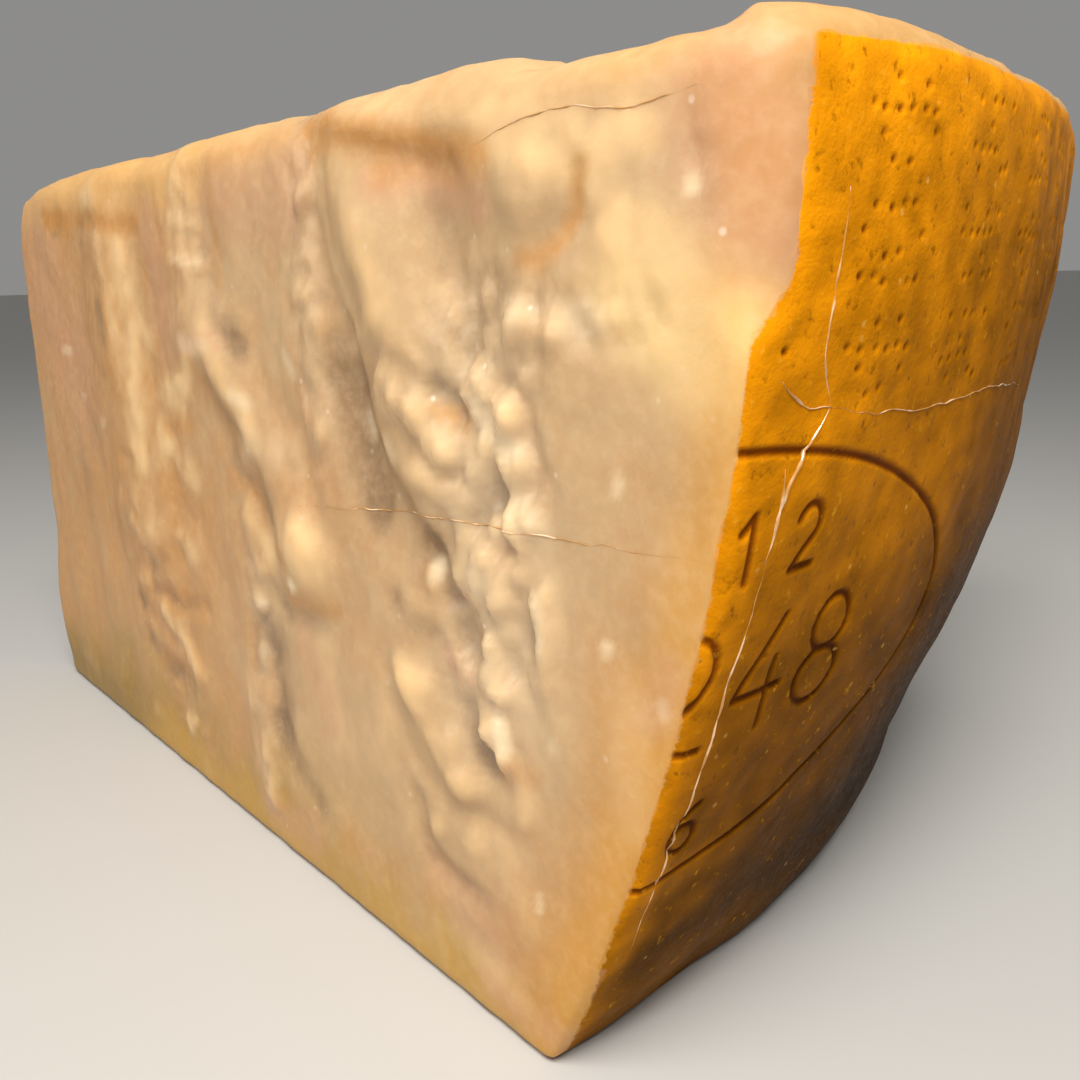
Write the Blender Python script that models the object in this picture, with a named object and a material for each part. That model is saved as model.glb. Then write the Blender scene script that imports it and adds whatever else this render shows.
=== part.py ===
"""Wedge of a hard, grainy cheese wheel that was first split in two at half height.

The chunk stands on the wheel's flat rind. Two rough split faces meet at the blunt
tip, which lay on the wheel's axis. The bulging rind joins them at the other end, and
the top is the rough face along which the wheel was split.

Shape rules are worked out in millimetres with the wheel's axis upright at x = y = 0
and the front split face on y = 0. The finished mesh is in metres, with its origin
under the middle of its bounding box.
"""
import math
from collections import namedtuple

import bmesh
import bpy
import numpy as np
from mathutils import Vector, noise

METRES = 0.001                        # one millimetre in metres

# Driving dimensions, in millimetres and degrees.
CHUNK_HEIGHT = 114.0                  # half of the wheel's height
RADIUS_AT_TOP = 219.4                 # rind radius at the wheel's half height
RADIUS_AT_BASE = 189.0                # rind radius at the flat face
RIND_BULGE = 7.6                      # how far the rind bows out from a straight line
WEDGE_ANGLE = math.radians(45.0)      # an eighth of the half wheel

TOP_ROUNDING = 5.0                    # mean radius of the crumbled upper edges
TOP_ROUNDING_SPREAD = 0.35            # share by which that radius varies
BASE_ROUNDING = 1.5                   # radius of the lower edges
TIP_SOFTENING = 8.0                   # length over which the tip is blunted
CORNER_SOFTENING = 2.0                # length over which the upright rind edges are blunted
CORNER_CHIP = 5.5                     # the same where the front rind edge is chipped away
CORNER_CHIP_START = 84.0              # height where that chip begins
CORNER_CHIP_RUN = 8.0                 # height over which it grows

TIP_FOOT_HEIGHT = 18.0                # where the tip juts out furthest
TIP_FOOT_REACH = 20.0                 # height above and below over which it does so
TIP_FOOT = 2.6                        # how far it juts out there
TIP_HEAD_RUN = 15.0                   # height below the top over which the tip leans back
TIP_HEAD = 6.0                        # how far it leans back at the top

# Mesh fineness.
PLAIN_COLUMNS = 11                    # columns on the smooth part of the front face
PLAIN_LENGTH = 0.27                   # share of the face's length that is smooth
FRONT_COLUMNS = 56
RIND_COLUMNS = 32
REAR_COLUMNS = 40
WALL_ROWS = 28
TOP_EDGE_ROWS = 4
BASE_EDGE_ROWS = 2
TOP_RINGS = (2, 3, 2)                 # rings at full, half and quarter column count
SMOOTHING = 0.15                      # share by which a point above the base is evened out

HALF_ANGLE = WEDGE_ANGLE / 2.0
# The inset at which the wedge's outline shrinks to a point.
CENTRE_INSET = RADIUS_AT_TOP * math.sin(HALF_ANGLE) / (1.0 + math.sin(HALF_ANGLE))

FRONT, RIND, REAR = range(3)

# A fold runs along a path over a face: a ridge if its height is positive, else a groove.
Fold = namedtuple("Fold", "path half_width height")
# A lobe is one rounded swelling, or a dent if its height is negative.
Lobe = namedtuple("Lobe", "centre half_length half_height height")

# Places on a split face are (distance from the wheel's axis, height above the base).
FRONT_FOLDS = (
    Fold([(66, 116), (66, 96), (67, 80), (70, 64), (74, 50)], 22.0, 1.3),     # long ridge near the tip
    Fold([(76, 30), (83, 28), (89, 23)], 6.0, 0.8),
    Fold([(99, 116), (99, 100), (99, 90), (103, 83)], 18.0, 1.0),             # slanting ridge, upper part
    Fold([(105, 85), (111, 79), (118, 73), (125, 67), (132, 60)], 11.0, 1.4),  # its lower part, to the knob
    Fold([(105, 77), (111, 71), (117, 65), (124, 60)], 6.0, -0.8),            # hollow beneath it
    Fold([(120, 35), (119, 31), (120, 25)], 9.0, -1.0),                       # groove under the knob
    Fold([(122, 22), (127, 18), (133, 13)], 6.0, -0.6),
    Fold([(115, 30), (115, 20), (117, 8)], 7.5, 0.6),
    Fold([(141, 112), (141, 98), (141, 86), (144, 74), (146, 60)], 11.0, 0.8),
    Fold([(144, 101), (147, 92), (150, 84)], 5.0, -1.0),                      # groove beside the big ridge
    Fold([(150, 84), (153, 76), (157, 69), (166, 61)], 7.5, -1.8),
    Fold([(168, 61), (171, 56), (174, 50)], 5.0, -1.2),
    Fold([(153, 107), (157, 97), (161, 88), (165, 82)], 11.5, 1.8),           # big smooth ridge
    Fold([(141, 111), (150, 109), (158, 106), (167, 104), (173, 103)], 7.5, -1.2),
    Fold([(182, 106), (191, 105), (198, 102), (200, 97)], 6.0, 0.5),
    Fold([(160, 78), (166, 75), (172, 73)], 6.0, 1.2),                        # rows of small lobes
    Fold([(184, 84), (183, 74), (185, 65), (180, 58), (180, 51)], 6.0, 1.2),
    Fold([(180, 46), (180, 43), (182, 39)], 6.0, 1.3),
    Fold([(162, 42), (166, 37), (173, 31)], 6.0, 1.4),
)
FRONT_LOBES = (
    Lobe((136, 54), 12.0, 9.5, 3.2),          # the knob
    Lobe((74, 49), 13.0, 9.0, 0.5),
    Lobe((91, 46), 8.0, 7.0, 0.7),
    Lobe((82, 11), 7.0, 6.0, 0.6),
    Lobe((174, 95), 13.0, 9.0, -1.4),         # hollow under the overhanging ledge
    Lobe((188, 101), 7.0, 6.0, 1.0),
    Lobe((210, 91), 15.0, 11.0, 0.4),
)
REAR_FOLDS = (
    Fold([(44, 112), (47, 90), (43, 66), (49, 40), (46, 18)], 12.0, 1.7),
    Fold([(58, 110), (60, 84), (57, 60), (64, 36)], 7.0, -1.4),
    Fold([(92, 112), (96, 92), (90, 74), (98, 52), (104, 30), (101, 10)], 10.5, 2.0),
    Fold([(112, 104), (116, 82), (123, 62), (120, 40)], 8.0, -2.0),
    Fold([(134, 112), (138, 94), (147, 78), (150, 58), (143, 36)], 10.5, 2.1),
    Fold([(160, 96), (166, 76), (163, 54), (170, 34), (167, 16)], 7.5, -1.8),
    Fold([(183, 106), (186, 84), (181, 62)], 8.5, 1.3),
    Fold([(120, 109), (140, 107), (158, 108)], 6.5, -1.3),
)
REAR_LOBES = (
    Lobe((75, 32), 11.0, 9.0, 1.6),
    Lobe((73, 78), 10.0, 13.0, -1.0),
    Lobe((128, 22), 10.0, 8.0, 1.5),
    Lobe((152, 40), 8.0, 8.0, 1.8),
    Lobe((178, 40), 8.0, 10.0, 1.5),
    Lobe((121, 92), 9.0, 10.0, 1.3),
    Lobe((190, 90), 10.0, 12.0, -0.8),
)
# Places on the split top are (x, y) from the wheel's axis.
TOP_FOLDS = (
    Fold([(52, 14), (80, 26), (104, 30), (132, 46)], 9.0, 1.5),
    Fold([(92, 62), (120, 74), (150, 82)], 9.0, -1.7),
    Fold([(120, 14), (150, 30), (182, 36)], 8.5, 1.3),
    Fold([(118, 104), (140, 98), (168, 104)], 9.0, 1.5),
    Fold([(204, -1), (200, 3), (190, 14), (178, 26)], 8.5, -2.2),             # dips of the front edge
    Fold([(213, 0), (210, 3), (200, 13)], 5.0, -1.8),
)
TOP_LOBES = (
    Lobe((190, 4), 10.0, 12.0, -2.4),
    Lobe((42, 6), 26.0, 20.0, 1.2),
    Lobe((206, 66), 16.0, 26.0, -1.1),        # where the rear rind edge is worn
    Lobe((160, 60), 16.0, 11.0, -1.5),
    Lobe((96, 44), 12.0, 9.0, 1.5),
)
# Places on the rind are (length round the rind at its largest radius, height).
RIND_LOBES = (
    Lobe((92, 104), 62.0, 50.0, -2.0),        # where the rind is pressed flatter
    Lobe((105, 76), 60.0, 20.0, -1.0),
    Lobe((100, 28), 56.0, 20.0, -1.3),
    Lobe((95, 5), 66.0, 13.0, 1.8),           # its foot, spread a little by the weight
    Lobe((20, 0), 36.0, 9.0, -1.1),
)
TOP_SLOPE = 0.9                       # how much higher the top is near the rind
TIP_DROP = 6.0                        # how far the top falls away at the tip
TIP_DROP_REACH = 20.0                 # distance from the axis over which it falls


def hump(distance):
    """Rounded profile: 1 at distance 0, falling smoothly to 0 at distance 1."""
    return np.clip(1.0 - distance ** 2, 0.0, None) ** 2


def distance_to_path(along, up, path):
    """Distance from each place to the nearest point of a path of straight runs."""
    nearest = np.full(np.shape(along), np.inf)
    for (a0, u0), (a1, u1) in zip(path, path[1:]):
        run_along, run_up = a1 - a0, u1 - u0
        share = (along - a0) * run_along + (up - u0) * run_up
        share = np.clip(share / (run_along ** 2 + run_up ** 2), 0.0, 1.0)
        gap = np.hypot(along - a0 - share * run_along, up - u0 - share * run_up)
        nearest = np.minimum(nearest, gap)
    return nearest


def relief(along, up, folds, lobes):
    """Height of a face's relief at each place, in millimetres."""
    height = np.zeros(np.shape(along))
    for fold in folds:
        height += fold.height * hump(distance_to_path(along, up, fold.path) / fold.half_width)
    for lobe in lobes:
        offset_along = (along - lobe.centre[0]) / lobe.half_length
        offset_up = (up - lobe.centre[1]) / lobe.half_height
        height += lobe.height * hump(np.hypot(offset_along, offset_up))
    return height


def waves(points, size, seed):
    """Smooth unevenness from -1 to 1; size is the length of a wave along each axis."""
    return np.array([
        noise.noise(Vector((x / size[0], y / size[1], z / size[2] + seed))) for x, y, z in points
    ])


def ease(value, start, end):
    """0 before start, 1 after end and a smooth rise between them."""
    share = np.clip((value - start) / (end - start), 0.0, 1.0)
    return share * share * (3.0 - 2.0 * share)


def rind_radius(height):
    """Radius of the rind at a height above the base."""
    share = height / CHUNK_HEIGHT
    straight = RADIUS_AT_BASE + (RADIUS_AT_TOP - RADIUS_AT_BASE) * share
    return straight + RIND_BULGE * 4.0 * share * (1.0 - share)


def across(x, y):
    """Mirror places in the upright plane through the tip and the middle of the rind."""
    cosine, sine = math.cos(WEDGE_ANGLE), math.sin(WEDGE_ANGLE)
    return x * cosine + y * sine, x * sine - y * cosine


def columns():
    """Side and share along it of each column, round from the tip over the front face."""
    rough_columns = FRONT_COLUMNS - PLAIN_COLUMNS
    front = [(FRONT, PLAIN_LENGTH * i / PLAIN_COLUMNS) for i in range(PLAIN_COLUMNS)]
    front += [(FRONT, PLAIN_LENGTH + (1.0 - PLAIN_LENGTH) * i / rough_columns)
              for i in range(rough_columns + 1)]
    rind = [(RIND, i / RIND_COLUMNS) for i in range(1, RIND_COLUMNS + 1)]
    rear = [(REAR, 1.0 - i / REAR_COLUMNS) for i in range(1, REAR_COLUMNS)]
    side, share = zip(*(front + rind + rear))
    return np.array(side), np.array(share)


def blunted(corner, towards_a, towards_b, width, distance):
    """Points of a curve that cuts a corner; distance is negative on the side of a."""
    step = 0.5 + 0.5 * distance / width
    weight_a, weight_b = width * (1.0 - step) ** 2, width * step ** 2
    x = corner[0] + weight_a * towards_a[0] + weight_b * towards_b[0]
    y = corner[1] + weight_a * towards_a[1] + weight_b * towards_b[1]
    return x, y


def corner_width(height, side_is_front):
    """Length over which an upright rind edge is blunted at a height."""
    chip = CORNER_CHIP * ease(height, CORNER_CHIP_START, CORNER_CHIP_START + CORNER_CHIP_RUN)
    return CORNER_SOFTENING + np.where(side_is_front, chip, 0.0)


def outline(side, share, inset, height):
    """Plan places and outward directions of the columns, moved in by inset."""
    radius = rind_radius(height) - inset
    start = inset / math.tan(HALF_ANGLE)
    end = np.sqrt(radius ** 2 - inset ** 2)
    first_angle = np.arcsin(inset / radius)
    room = 1.0 - inset / CENTRE_INSET
    on_rind = side == RIND
    mirrored = (side == REAR) | (on_rind & (share > 0.5))

    face_x = start + share * (end - start)
    face_y = inset
    near_share = np.where(mirrored, 1.0 - share, share)
    angle = first_angle + near_share * (WEDGE_ANGLE - 2.0 * first_angle)
    x = np.where(on_rind, radius * np.cos(angle), face_x)
    y = np.where(on_rind, radius * np.sin(angle), face_y)
    out_x = np.where(on_rind, np.cos(angle), 0.0)
    out_y = np.where(on_rind, np.sin(angle), -1.0)

    tip = np.maximum(TIP_SOFTENING * room, 0.01)
    from_tip = face_x - start
    tip_x, tip_y = blunted((start, inset), (1.0, 0.0),
                           (math.cos(WEDGE_ANGLE), math.sin(WEDGE_ANGLE)), tip, -from_tip)
    at_tip = ~on_rind & (from_tip < tip)
    x, y = np.where(at_tip, tip_x, x), np.where(at_tip, tip_y, y)

    width = np.maximum(corner_width(height, ~mirrored) * room, 0.01)
    past_corner = np.where(on_rind, radius * (angle - first_angle), face_x - end)
    edge_x, edge_y = blunted((end, inset), (-1.0, 0.0),
                             (-np.sin(first_angle), np.cos(first_angle)), width, past_corner)
    at_edge = np.abs(past_corner) < width
    x, y = np.where(at_edge, edge_x, x), np.where(at_edge, edge_y, y)

    mirror_x, mirror_y = across(x, y)
    mirror_out_x, mirror_out_y = across(out_x, out_y)
    return (np.where(mirrored, mirror_x, x), np.where(mirrored, mirror_y, y),
            np.where(mirrored, mirror_out_x, out_x), np.where(mirrored, mirror_out_y, out_y))


def tip_push(points):
    """How far each point moves away from the body near the tip, along the middle plane."""
    foot = np.abs(points[:, 2] - TIP_FOOT_HEIGHT) / TIP_FOOT_REACH
    head = np.clip((points[:, 2] - CHUNK_HEIGHT) / TIP_HEAD_RUN + 1.0, 0.0, 1.0)
    push = TIP_FOOT * hump(np.clip(foot, 0.0, 1.0)) - TIP_HEAD * head ** 2
    near_tip = hump(np.clip(np.hypot(points[:, 0], points[:, 1]) / TIP_DROP_REACH, 0.0, 1.0))
    return push * near_tip * ease(points[:, 2], 0.0, 10.0)


def wall_relief(side, points):
    """Relief of the upright sides: folds and lobes on split faces, low waves on the rind."""
    along = np.hypot(points[:, 0], points[:, 1])
    up = points[:, 2]
    edge_gap = rind_radius(up) - along
    fade = ease(along, 6.0, 22.0) * ease(edge_gap, 1.0, 9.0) * ease(up, 1.0, 9.0)
    front = relief(along, up, FRONT_FOLDS, FRONT_LOBES)
    rear = relief(along, up, REAR_FOLDS, REAR_LOBES)
    streaks = waves(points, (13.0, 13.0, 40.0), 3.7)
    split = fade * (np.where(side == FRONT, front, rear) + 0.5 * streaks)
    round_rind = RADIUS_AT_TOP * np.arctan2(points[:, 1], points[:, 0])
    rind = relief(round_rind, up, (), RIND_LOBES) + 0.4 * waves(points, (30.0, 30.0, 22.0), 5.3)
    return np.where(side == RIND, rind, split)


def top_relief(points):
    """Relief of the split top: low folds, and the fall towards the tip."""
    x, y = points[:, 0], points[:, 1]
    from_axis = np.hypot(x, y)
    fall = -TIP_DROP * hump(np.clip(from_axis / TIP_DROP_REACH, 0.0, 1.0))
    slope = TOP_SLOPE * ease(from_axis, 40.0, 120.0)
    swell = 0.8 * waves(points, (26.0, 26.0, 26.0), 1.9)
    return relief(x, y, TOP_FOLDS, TOP_LOBES) + fall + slope + swell - 1.0


def row(side, share, inset, height, tilt):
    """One closed row of points; tilt turns the surface from upright to facing up."""
    x, y, out_x, out_y = outline(side, share, inset, height)
    points = np.stack([x, y, height], axis=1)
    push = tip_push(points)
    level, rise = math.cos(tilt), math.sin(tilt)
    depth = level ** 2 * wall_relief(side, points)
    if tilt > 0.0:
        depth = depth + rise ** 2 * top_relief(points)
    x = x + depth * out_x * level - push * math.cos(HALF_ANGLE)
    y = y + depth * out_y * level - push * math.sin(HALF_ANGLE)
    return np.stack([x, y, height + depth * rise], axis=1)


def wall_rows(side, share):
    """Rows from the rim of the flat base up to the rim of the top."""
    plan = np.stack([*outline(side, share, np.zeros_like(share), np.zeros_like(share))[:2],
                     np.zeros_like(share)], axis=1)
    uneven = 1.0 + TOP_ROUNDING_SPREAD * waves(plan, (17.0, 17.0, 1.0), 6.4)
    top_radius = TOP_ROUNDING * uneven
    rows = []
    for i in range(BASE_EDGE_ROWS + 1):
        turn = math.pi / 2.0 * (1.0 - i / BASE_EDGE_ROWS)
        inset = np.full_like(share, BASE_ROUNDING * (1.0 - math.cos(turn)))
        height = np.full_like(share, BASE_ROUNDING * (1.0 - math.sin(turn)))
        rows.append(row(side, share, inset, height, -turn))
    for i in range(1, WALL_ROWS):
        climb = CHUNK_HEIGHT - BASE_ROUNDING - top_radius
        height = BASE_ROUNDING + climb * i / WALL_ROWS
        rows.append(row(side, share, np.zeros_like(share), height, 0.0))
    for i in range(TOP_EDGE_ROWS + 1):
        turn = math.pi / 2.0 * i / TOP_EDGE_ROWS
        inset = top_radius * (1.0 - math.cos(turn))
        height = CHUNK_HEIGHT - top_radius * (1.0 - math.sin(turn))
        rows.append(row(side, share, inset, height, turn))
    return rows, top_radius


def top_rings(side, share, top_radius):
    """Rings of the top, from its rim inwards, with fewer columns nearer the centre."""
    rings = []
    count = sum(TOP_RINGS)
    ring = 0
    for halvings, repeats in enumerate(TOP_RINGS):
        for _ in range(repeats):
            ring += 1
            keep = slice(None, None, 2 ** halvings)
            rim = top_radius[keep]
            inset = rim + (CENTRE_INSET - rim) * ring / (count + 1)
            height = np.full_like(inset, CHUNK_HEIGHT)
            rings.append(row(side[keep], share[keep], inset, height, math.pi / 2.0))
    return rings


def join_rows(mesh, lower, upper, material):
    """Faces between two rows; the upper one has as many columns or half as many."""
    count = len(lower)
    if len(upper) == count:
        for i in range(count):
            after = (i + 1) % count
            face = mesh.faces.new((lower[i], lower[after], upper[after], upper[i]))
            face.material_index = material(i)
        return
    for i in range(len(upper)):
        after = (i + 1) % len(upper)
        start, middle, end = lower[2 * i], lower[2 * i + 1], lower[(2 * i + 2) % count]
        for corners in ((start, middle, upper[i]), (middle, end, upper[after]),
                        (middle, upper[after], upper[i])):
            mesh.faces.new(corners).material_index = material(2 * i)


def build_mesh():
    """The closed wedge as a bmesh, in millimetres."""
    side, share = columns()
    walls, top_radius = wall_rows(side, share)
    rings = top_rings(side, share, top_radius)
    mesh = bmesh.new()
    loops = [[mesh.verts.new(point) for point in points] for points in walls + rings]

    def wall_material(column):
        """1 on the rind, 0 on the split faces."""
        return 1 if FRONT_COLUMNS <= column < FRONT_COLUMNS + RIND_COLUMNS else 0

    def paste_material(_column):
        """0 everywhere: the top has no rind."""
        return 0

    for index, (lower, upper) in enumerate(zip(loops, loops[1:])):
        on_wall = index < len(walls) - TOP_EDGE_ROWS - 1
        join_rows(mesh, lower, upper, wall_material if on_wall else paste_material)
    mesh.faces.new(reversed(loops[0])).material_index = 1
    centre = mesh.verts.new(Vector(np.mean([vert.co for vert in loops[-1]], axis=0)))
    for i, vert in enumerate(loops[-1]):
        mesh.faces.new((vert, loops[-1][(i + 1) % len(loops[-1])], centre))
    above_base = [vert for points in loops[2:] for vert in points]
    bmesh.ops.smooth_vert(mesh, verts=above_base, factor=SMOOTHING,
                          use_axis_x=True, use_axis_y=True, use_axis_z=True)
    bmesh.ops.triangulate(mesh, faces=[face for face in mesh.faces if len(face.verts) == 4])
    return mesh


def centre_on_base(mesh):
    """Move the mesh so that the origin lies under the middle of its bounding box."""
    places = np.array([vert.co for vert in mesh.verts])
    low, high = places.min(axis=0), places.max(axis=0)
    offset = Vector((-(low[0] + high[0]) / 2.0, -(low[1] + high[1]) / 2.0, -low[2]))
    bmesh.ops.translate(mesh, verts=mesh.verts, vec=offset)


def make_material(name, colour, roughness):
    """A plain opaque material."""
    material = bpy.data.materials.new(name)
    material.use_nodes = True
    shader = material.node_tree.nodes["Principled BSDF"]
    shader.inputs["Base Color"].default_value = (*colour, 1.0)
    shader.inputs["Roughness"].default_value = roughness
    shader.inputs["Metallic"].default_value = 0.0
    return material


def make_chunk():
    """The cheese itself, one solid body."""
    mesh = build_mesh()
    centre_on_base(mesh)
    bmesh.ops.scale(mesh, verts=mesh.verts, vec=(METRES, METRES, METRES))
    data = bpy.data.meshes.new("parmesan_chunk")
    mesh.to_mesh(data)
    mesh.free()
    data.materials.append(make_material("cheese_paste", (0.60, 0.37, 0.18), 0.45))
    data.materials.append(make_material("natural_rind", (0.62, 0.30, 0.02), 0.40))
    data.shade_smooth()
    data.set_sharp_from_angle(angle=math.radians(50.0))
    chunk = bpy.data.objects.new("parmesan_chunk", data)
    bpy.context.scene.collection.objects.link(chunk)
    return chunk


for old in list(bpy.data.objects):
    bpy.data.objects.remove(old, do_unlink=True)
make_chunk()
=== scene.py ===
import math
from collections import namedtuple

import bmesh
import bpy
import numpy as np
from mathutils import Matrix, Vector, noise
from mathutils.bvhtree import BVHTree


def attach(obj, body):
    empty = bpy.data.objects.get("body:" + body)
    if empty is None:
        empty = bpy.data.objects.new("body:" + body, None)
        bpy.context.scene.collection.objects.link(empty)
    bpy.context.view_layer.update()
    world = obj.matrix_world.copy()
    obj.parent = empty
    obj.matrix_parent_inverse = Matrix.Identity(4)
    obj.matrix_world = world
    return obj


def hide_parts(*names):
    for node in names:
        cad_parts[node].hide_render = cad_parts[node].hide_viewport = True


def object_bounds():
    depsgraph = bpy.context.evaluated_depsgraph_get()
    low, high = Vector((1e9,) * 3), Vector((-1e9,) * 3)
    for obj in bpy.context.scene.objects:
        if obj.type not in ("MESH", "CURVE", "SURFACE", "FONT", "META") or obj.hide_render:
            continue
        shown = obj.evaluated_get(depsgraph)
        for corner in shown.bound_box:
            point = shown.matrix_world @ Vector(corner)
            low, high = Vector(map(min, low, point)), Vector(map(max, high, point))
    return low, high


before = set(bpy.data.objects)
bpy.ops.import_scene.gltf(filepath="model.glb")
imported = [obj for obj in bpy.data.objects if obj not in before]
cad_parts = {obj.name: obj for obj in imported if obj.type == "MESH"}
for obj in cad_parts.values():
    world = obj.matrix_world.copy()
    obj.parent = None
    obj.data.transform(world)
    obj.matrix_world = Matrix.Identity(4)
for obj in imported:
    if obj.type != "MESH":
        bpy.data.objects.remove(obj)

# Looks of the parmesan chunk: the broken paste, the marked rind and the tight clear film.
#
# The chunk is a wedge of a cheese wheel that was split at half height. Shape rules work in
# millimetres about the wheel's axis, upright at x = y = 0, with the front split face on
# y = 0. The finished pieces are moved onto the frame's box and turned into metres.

CAD_LOW, CAD_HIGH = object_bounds()
NODE = "parmesan_chunk"

# -------- sizes, in millimetres

CHUNK_HEIGHT = 114
RADIUS_AT_TOP = 219.4
RADIUS_AT_BASE = 189
RIND_BULGE = 7.6
WEDGE_ANGLE = math.radians(45)
HALF_ANGLE = WEDGE_ANGLE / 2
CENTRE_INSET = RADIUS_AT_TOP * math.sin(HALF_ANGLE) / (1 + math.sin(HALF_ANGLE))
QUARTER = math.pi / 2

TOP_ROUNDING = 5
TOP_ROUNDING_SPREAD = 0.35
BASE_ROUNDING = 1.5
TIP_SOFTENING = 8
CORNER_SOFTENING = 2
CORNER_CHIP = 5.5
CORNER_CHIP_START = 84
CORNER_CHIP_RUN = 8
TOP_SLOPE = 0.9
TIP_DROP = 6
TIP_DROP_REACH = 20
TIP_HEAD = 6
TIP_HEAD_RUN = 15
TIP_FOOT = 2.3
TIP_FOOT_HEIGHT = 18
TIP_FOOT_REACH = 20
FACETS = 0.5                          # height of the broad facets all over a split face
RIND_DEPTH = 3.2                      # how far below its true form the rind's relief reaches
RIND_CHIP = 4.6                       # how far the rind is broken back at the upper corner
RIND_TOP_STRIP = 2.4                  # height of the broken strip above the rind
RIND_FOOT_STRIP = 1.6                 # width of the broken strip beside its lower front edge

# Mesh fineness.
FRONT_COLUMNS = 264
RIND_COLUMNS = 128
REAR_COLUMNS = 140
FRONT_CROWDING = 0.35                 # how much closer the front's columns are at the rind
WALL_ROWS = 108
TOP_EDGE_ROWS = 8
BASE_EDGE_ROWS = 4
TOP_RINGS = (8, 9, 8)                 # with all columns, with half and with a quarter of them
BASE_RINGS = (1, 2, 4)
MARK_REACHES = (1.1, 0.4)             # how far round a mark each refinement goes

FRONT, RIND, REAR = range(3)

# -------- relief of the faces

# A fold is (path, half width to its left, to its right, height, tone), left and right as seen
# along the path. It is a ridge if its height is positive, else a groove. Its tone is how much
# lighter, or if negative how much darker, the paste is there: partly its own colour, partly
# painted highlight on lit slopes and crests and painted shade in grooves and hollows.
# A lobe is (along, up, half length, half height, height, tone): one rounded swelling about a
# place, or a dent if its height is negative.
# Places on a split face are (distance from the wheel's axis, height above the base).
FRONT_FOLDS = (
    # The ridge nearest the tip: a long slope up to it and a short one that faces the rind.
    ([(66, 116), (66, 96), (67, 80), (70, 64), (74, 50)], 15, 30, 1.3, 0),
    ([(69, 98), (69.5, 84), (73, 70), (76, 62)], 12, 10, 0.1, 1.15),
    ([(58, 103), (78, 102)], 2.4, 2.4, -0.2, -0.6),
    ([(84, 66), (89, 63), (94, 59)], 5.5, 5, 0.3, 1.1),
    ([(84, 74), (93, 73), (102, 78)], 5, 5, 0.1, 1),
    ([(86, 44), (78, 42.5), (70, 38)], 3, 3.6, -0.4, -0.3),
    ([(96, 36), (84, 34.5), (70, 34)], 3, 3, -0.5, -0.4),
    ([(76, 30.5), (83, 28), (89, 23)], 4.5, 5, 0.7, 1.4),
    ([(64, 23), (74, 20), (82, 18)], 4, 3.5, -0.5, -0.8),
    # The stepped second ridge, which slants down to the knob above a shaded hollow.
    ([(99, 116), (99, 100), (99, 90), (103, 83)], 12, 24, 0.9, 0),
    ([(101, 116), (101, 98), (102, 90), (105, 84)], 8, 7, 0.1, 0.7),
    ([(105, 85), (111, 79), (118, 73), (125, 67), (132, 60)], 10, 12, 1.2, 0),
    ([(106, 83), (113, 77), (120, 72), (126, 68)], 6, 5, 0.2, 1),
    ([(105, 77), (111, 71), (117, 65.5), (124, 60)], 4.5, 7, -0.6, -1),
    ([(109, 97), (110, 92), (112, 86), (119, 82.5)], 3.4, 4, -0.3, -1.2),
    ([(122, 46), (128, 42.5), (138, 43)], 3, 3, -0.4, -0.8),
    ([(120, 35), (119, 32), (120, 26)], 9, 9, -0.8, -1.3),
    ([(122, 22), (127, 18), (133, 13)], 5, 5, -0.5, -1),
    ([(115, 30), (115, 20), (117, 8)], 5, 10, 0.5, 0.35),
    # The third ridge and the deep groove beside it.
    ([(141, 112), (141, 98), (141, 86), (144, 74), (146, 60)], 8, 14, 0.7, 0.3),
    ([(144, 101), (147, 92), (150, 86)], 2.4, 4, -0.6, -0.5),
    ([(150, 84), (153, 76), (157.5, 69), (166, 61)], 3, 10, -1, -0.6),
    ([(147, 84), (150, 77), (152, 70), (156, 64)], 3.4, 7, -0.3, -1.2),
    ([(160, 52), (166, 50), (171, 47.5)], 3, 4, -0.4, -0.8),
    # The big smooth ridge and the ledge above it.
    ([(153, 107), (157, 97), (161, 88), (165, 82)], 15, 8, 1.5, 0),
    ([(152, 106), (156, 97), (160, 89), (165, 83)], 8, 6.5, 0.2, 1.1),
    ([(164, 82), (171, 80), (176, 77)], 2.6, 3, -0.6, -1.1),
    ([(141, 111), (150, 109), (158, 106.5), (167, 104.5), (173, 103.5)], 3.5, 10, -0.9, -0.5),
    ([(160, 111), (180, 109), (196, 107)], 2.6, 2.6, 0.2, 0.6),
    ([(182, 106), (191, 105), (198, 102), (200, 97)], 5, 4.4, 0.3, 1.1),
    ([(196, 102), (194, 97), (190, 93)], 2.6, 3, -0.4, -0.2),
    # Rows of cream lobes that run down beside the groove.
    ([(160, 77.5), (166, 75), (171, 73)], 5, 4.4, 0.4, 0.7),
    ([(163, 69), (170, 67.5)], 3.4, 3.6, 0.3, 0.3),
    ([(168, 71), (180, 69)], 1.8, 1.8, -0.2, -0.4),
    ([(181, 71), (183, 65), (187, 57), (187, 51)], 2.4, 2, -0.5, -0.7),
    ([(168, 61), (171, 56), (174.5, 50)], 3, 3.4, -0.8, -1.2),
    ([(180, 46), (180, 43), (181.5, 39.5)], 5, 5.5, 1.1, 1.4),
    ([(174, 41), (175.5, 38), (179, 36)], 2.2, 3, -0.5, -1.3),
    ([(162, 42), (166, 37.5), (173, 31.5)], 5.5, 5, 1.2, 1.4),
    ([(157, 38), (161, 32), (168, 27.5), (182, 27.5)], 2, 2.4, -0.4, -0.25),
    ([(162, 25), (163, 20), (168, 16.5), (176, 16.5)], 2.6, 4, -0.5, -0.6),
    ([(95, 96), (108, 95)], 2, 2, 0.3, 0.6), ([(97, 101.5), (107, 101)], 1.6, 1.6, 0.3, 0.4),
    ([(138, 95), (143, 95)], 1.6, 1.6, 0.3, 0.4), ([(138, 90), (142, 90)], 1.6, 1.6, 0.3, 0.4),
)
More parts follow.
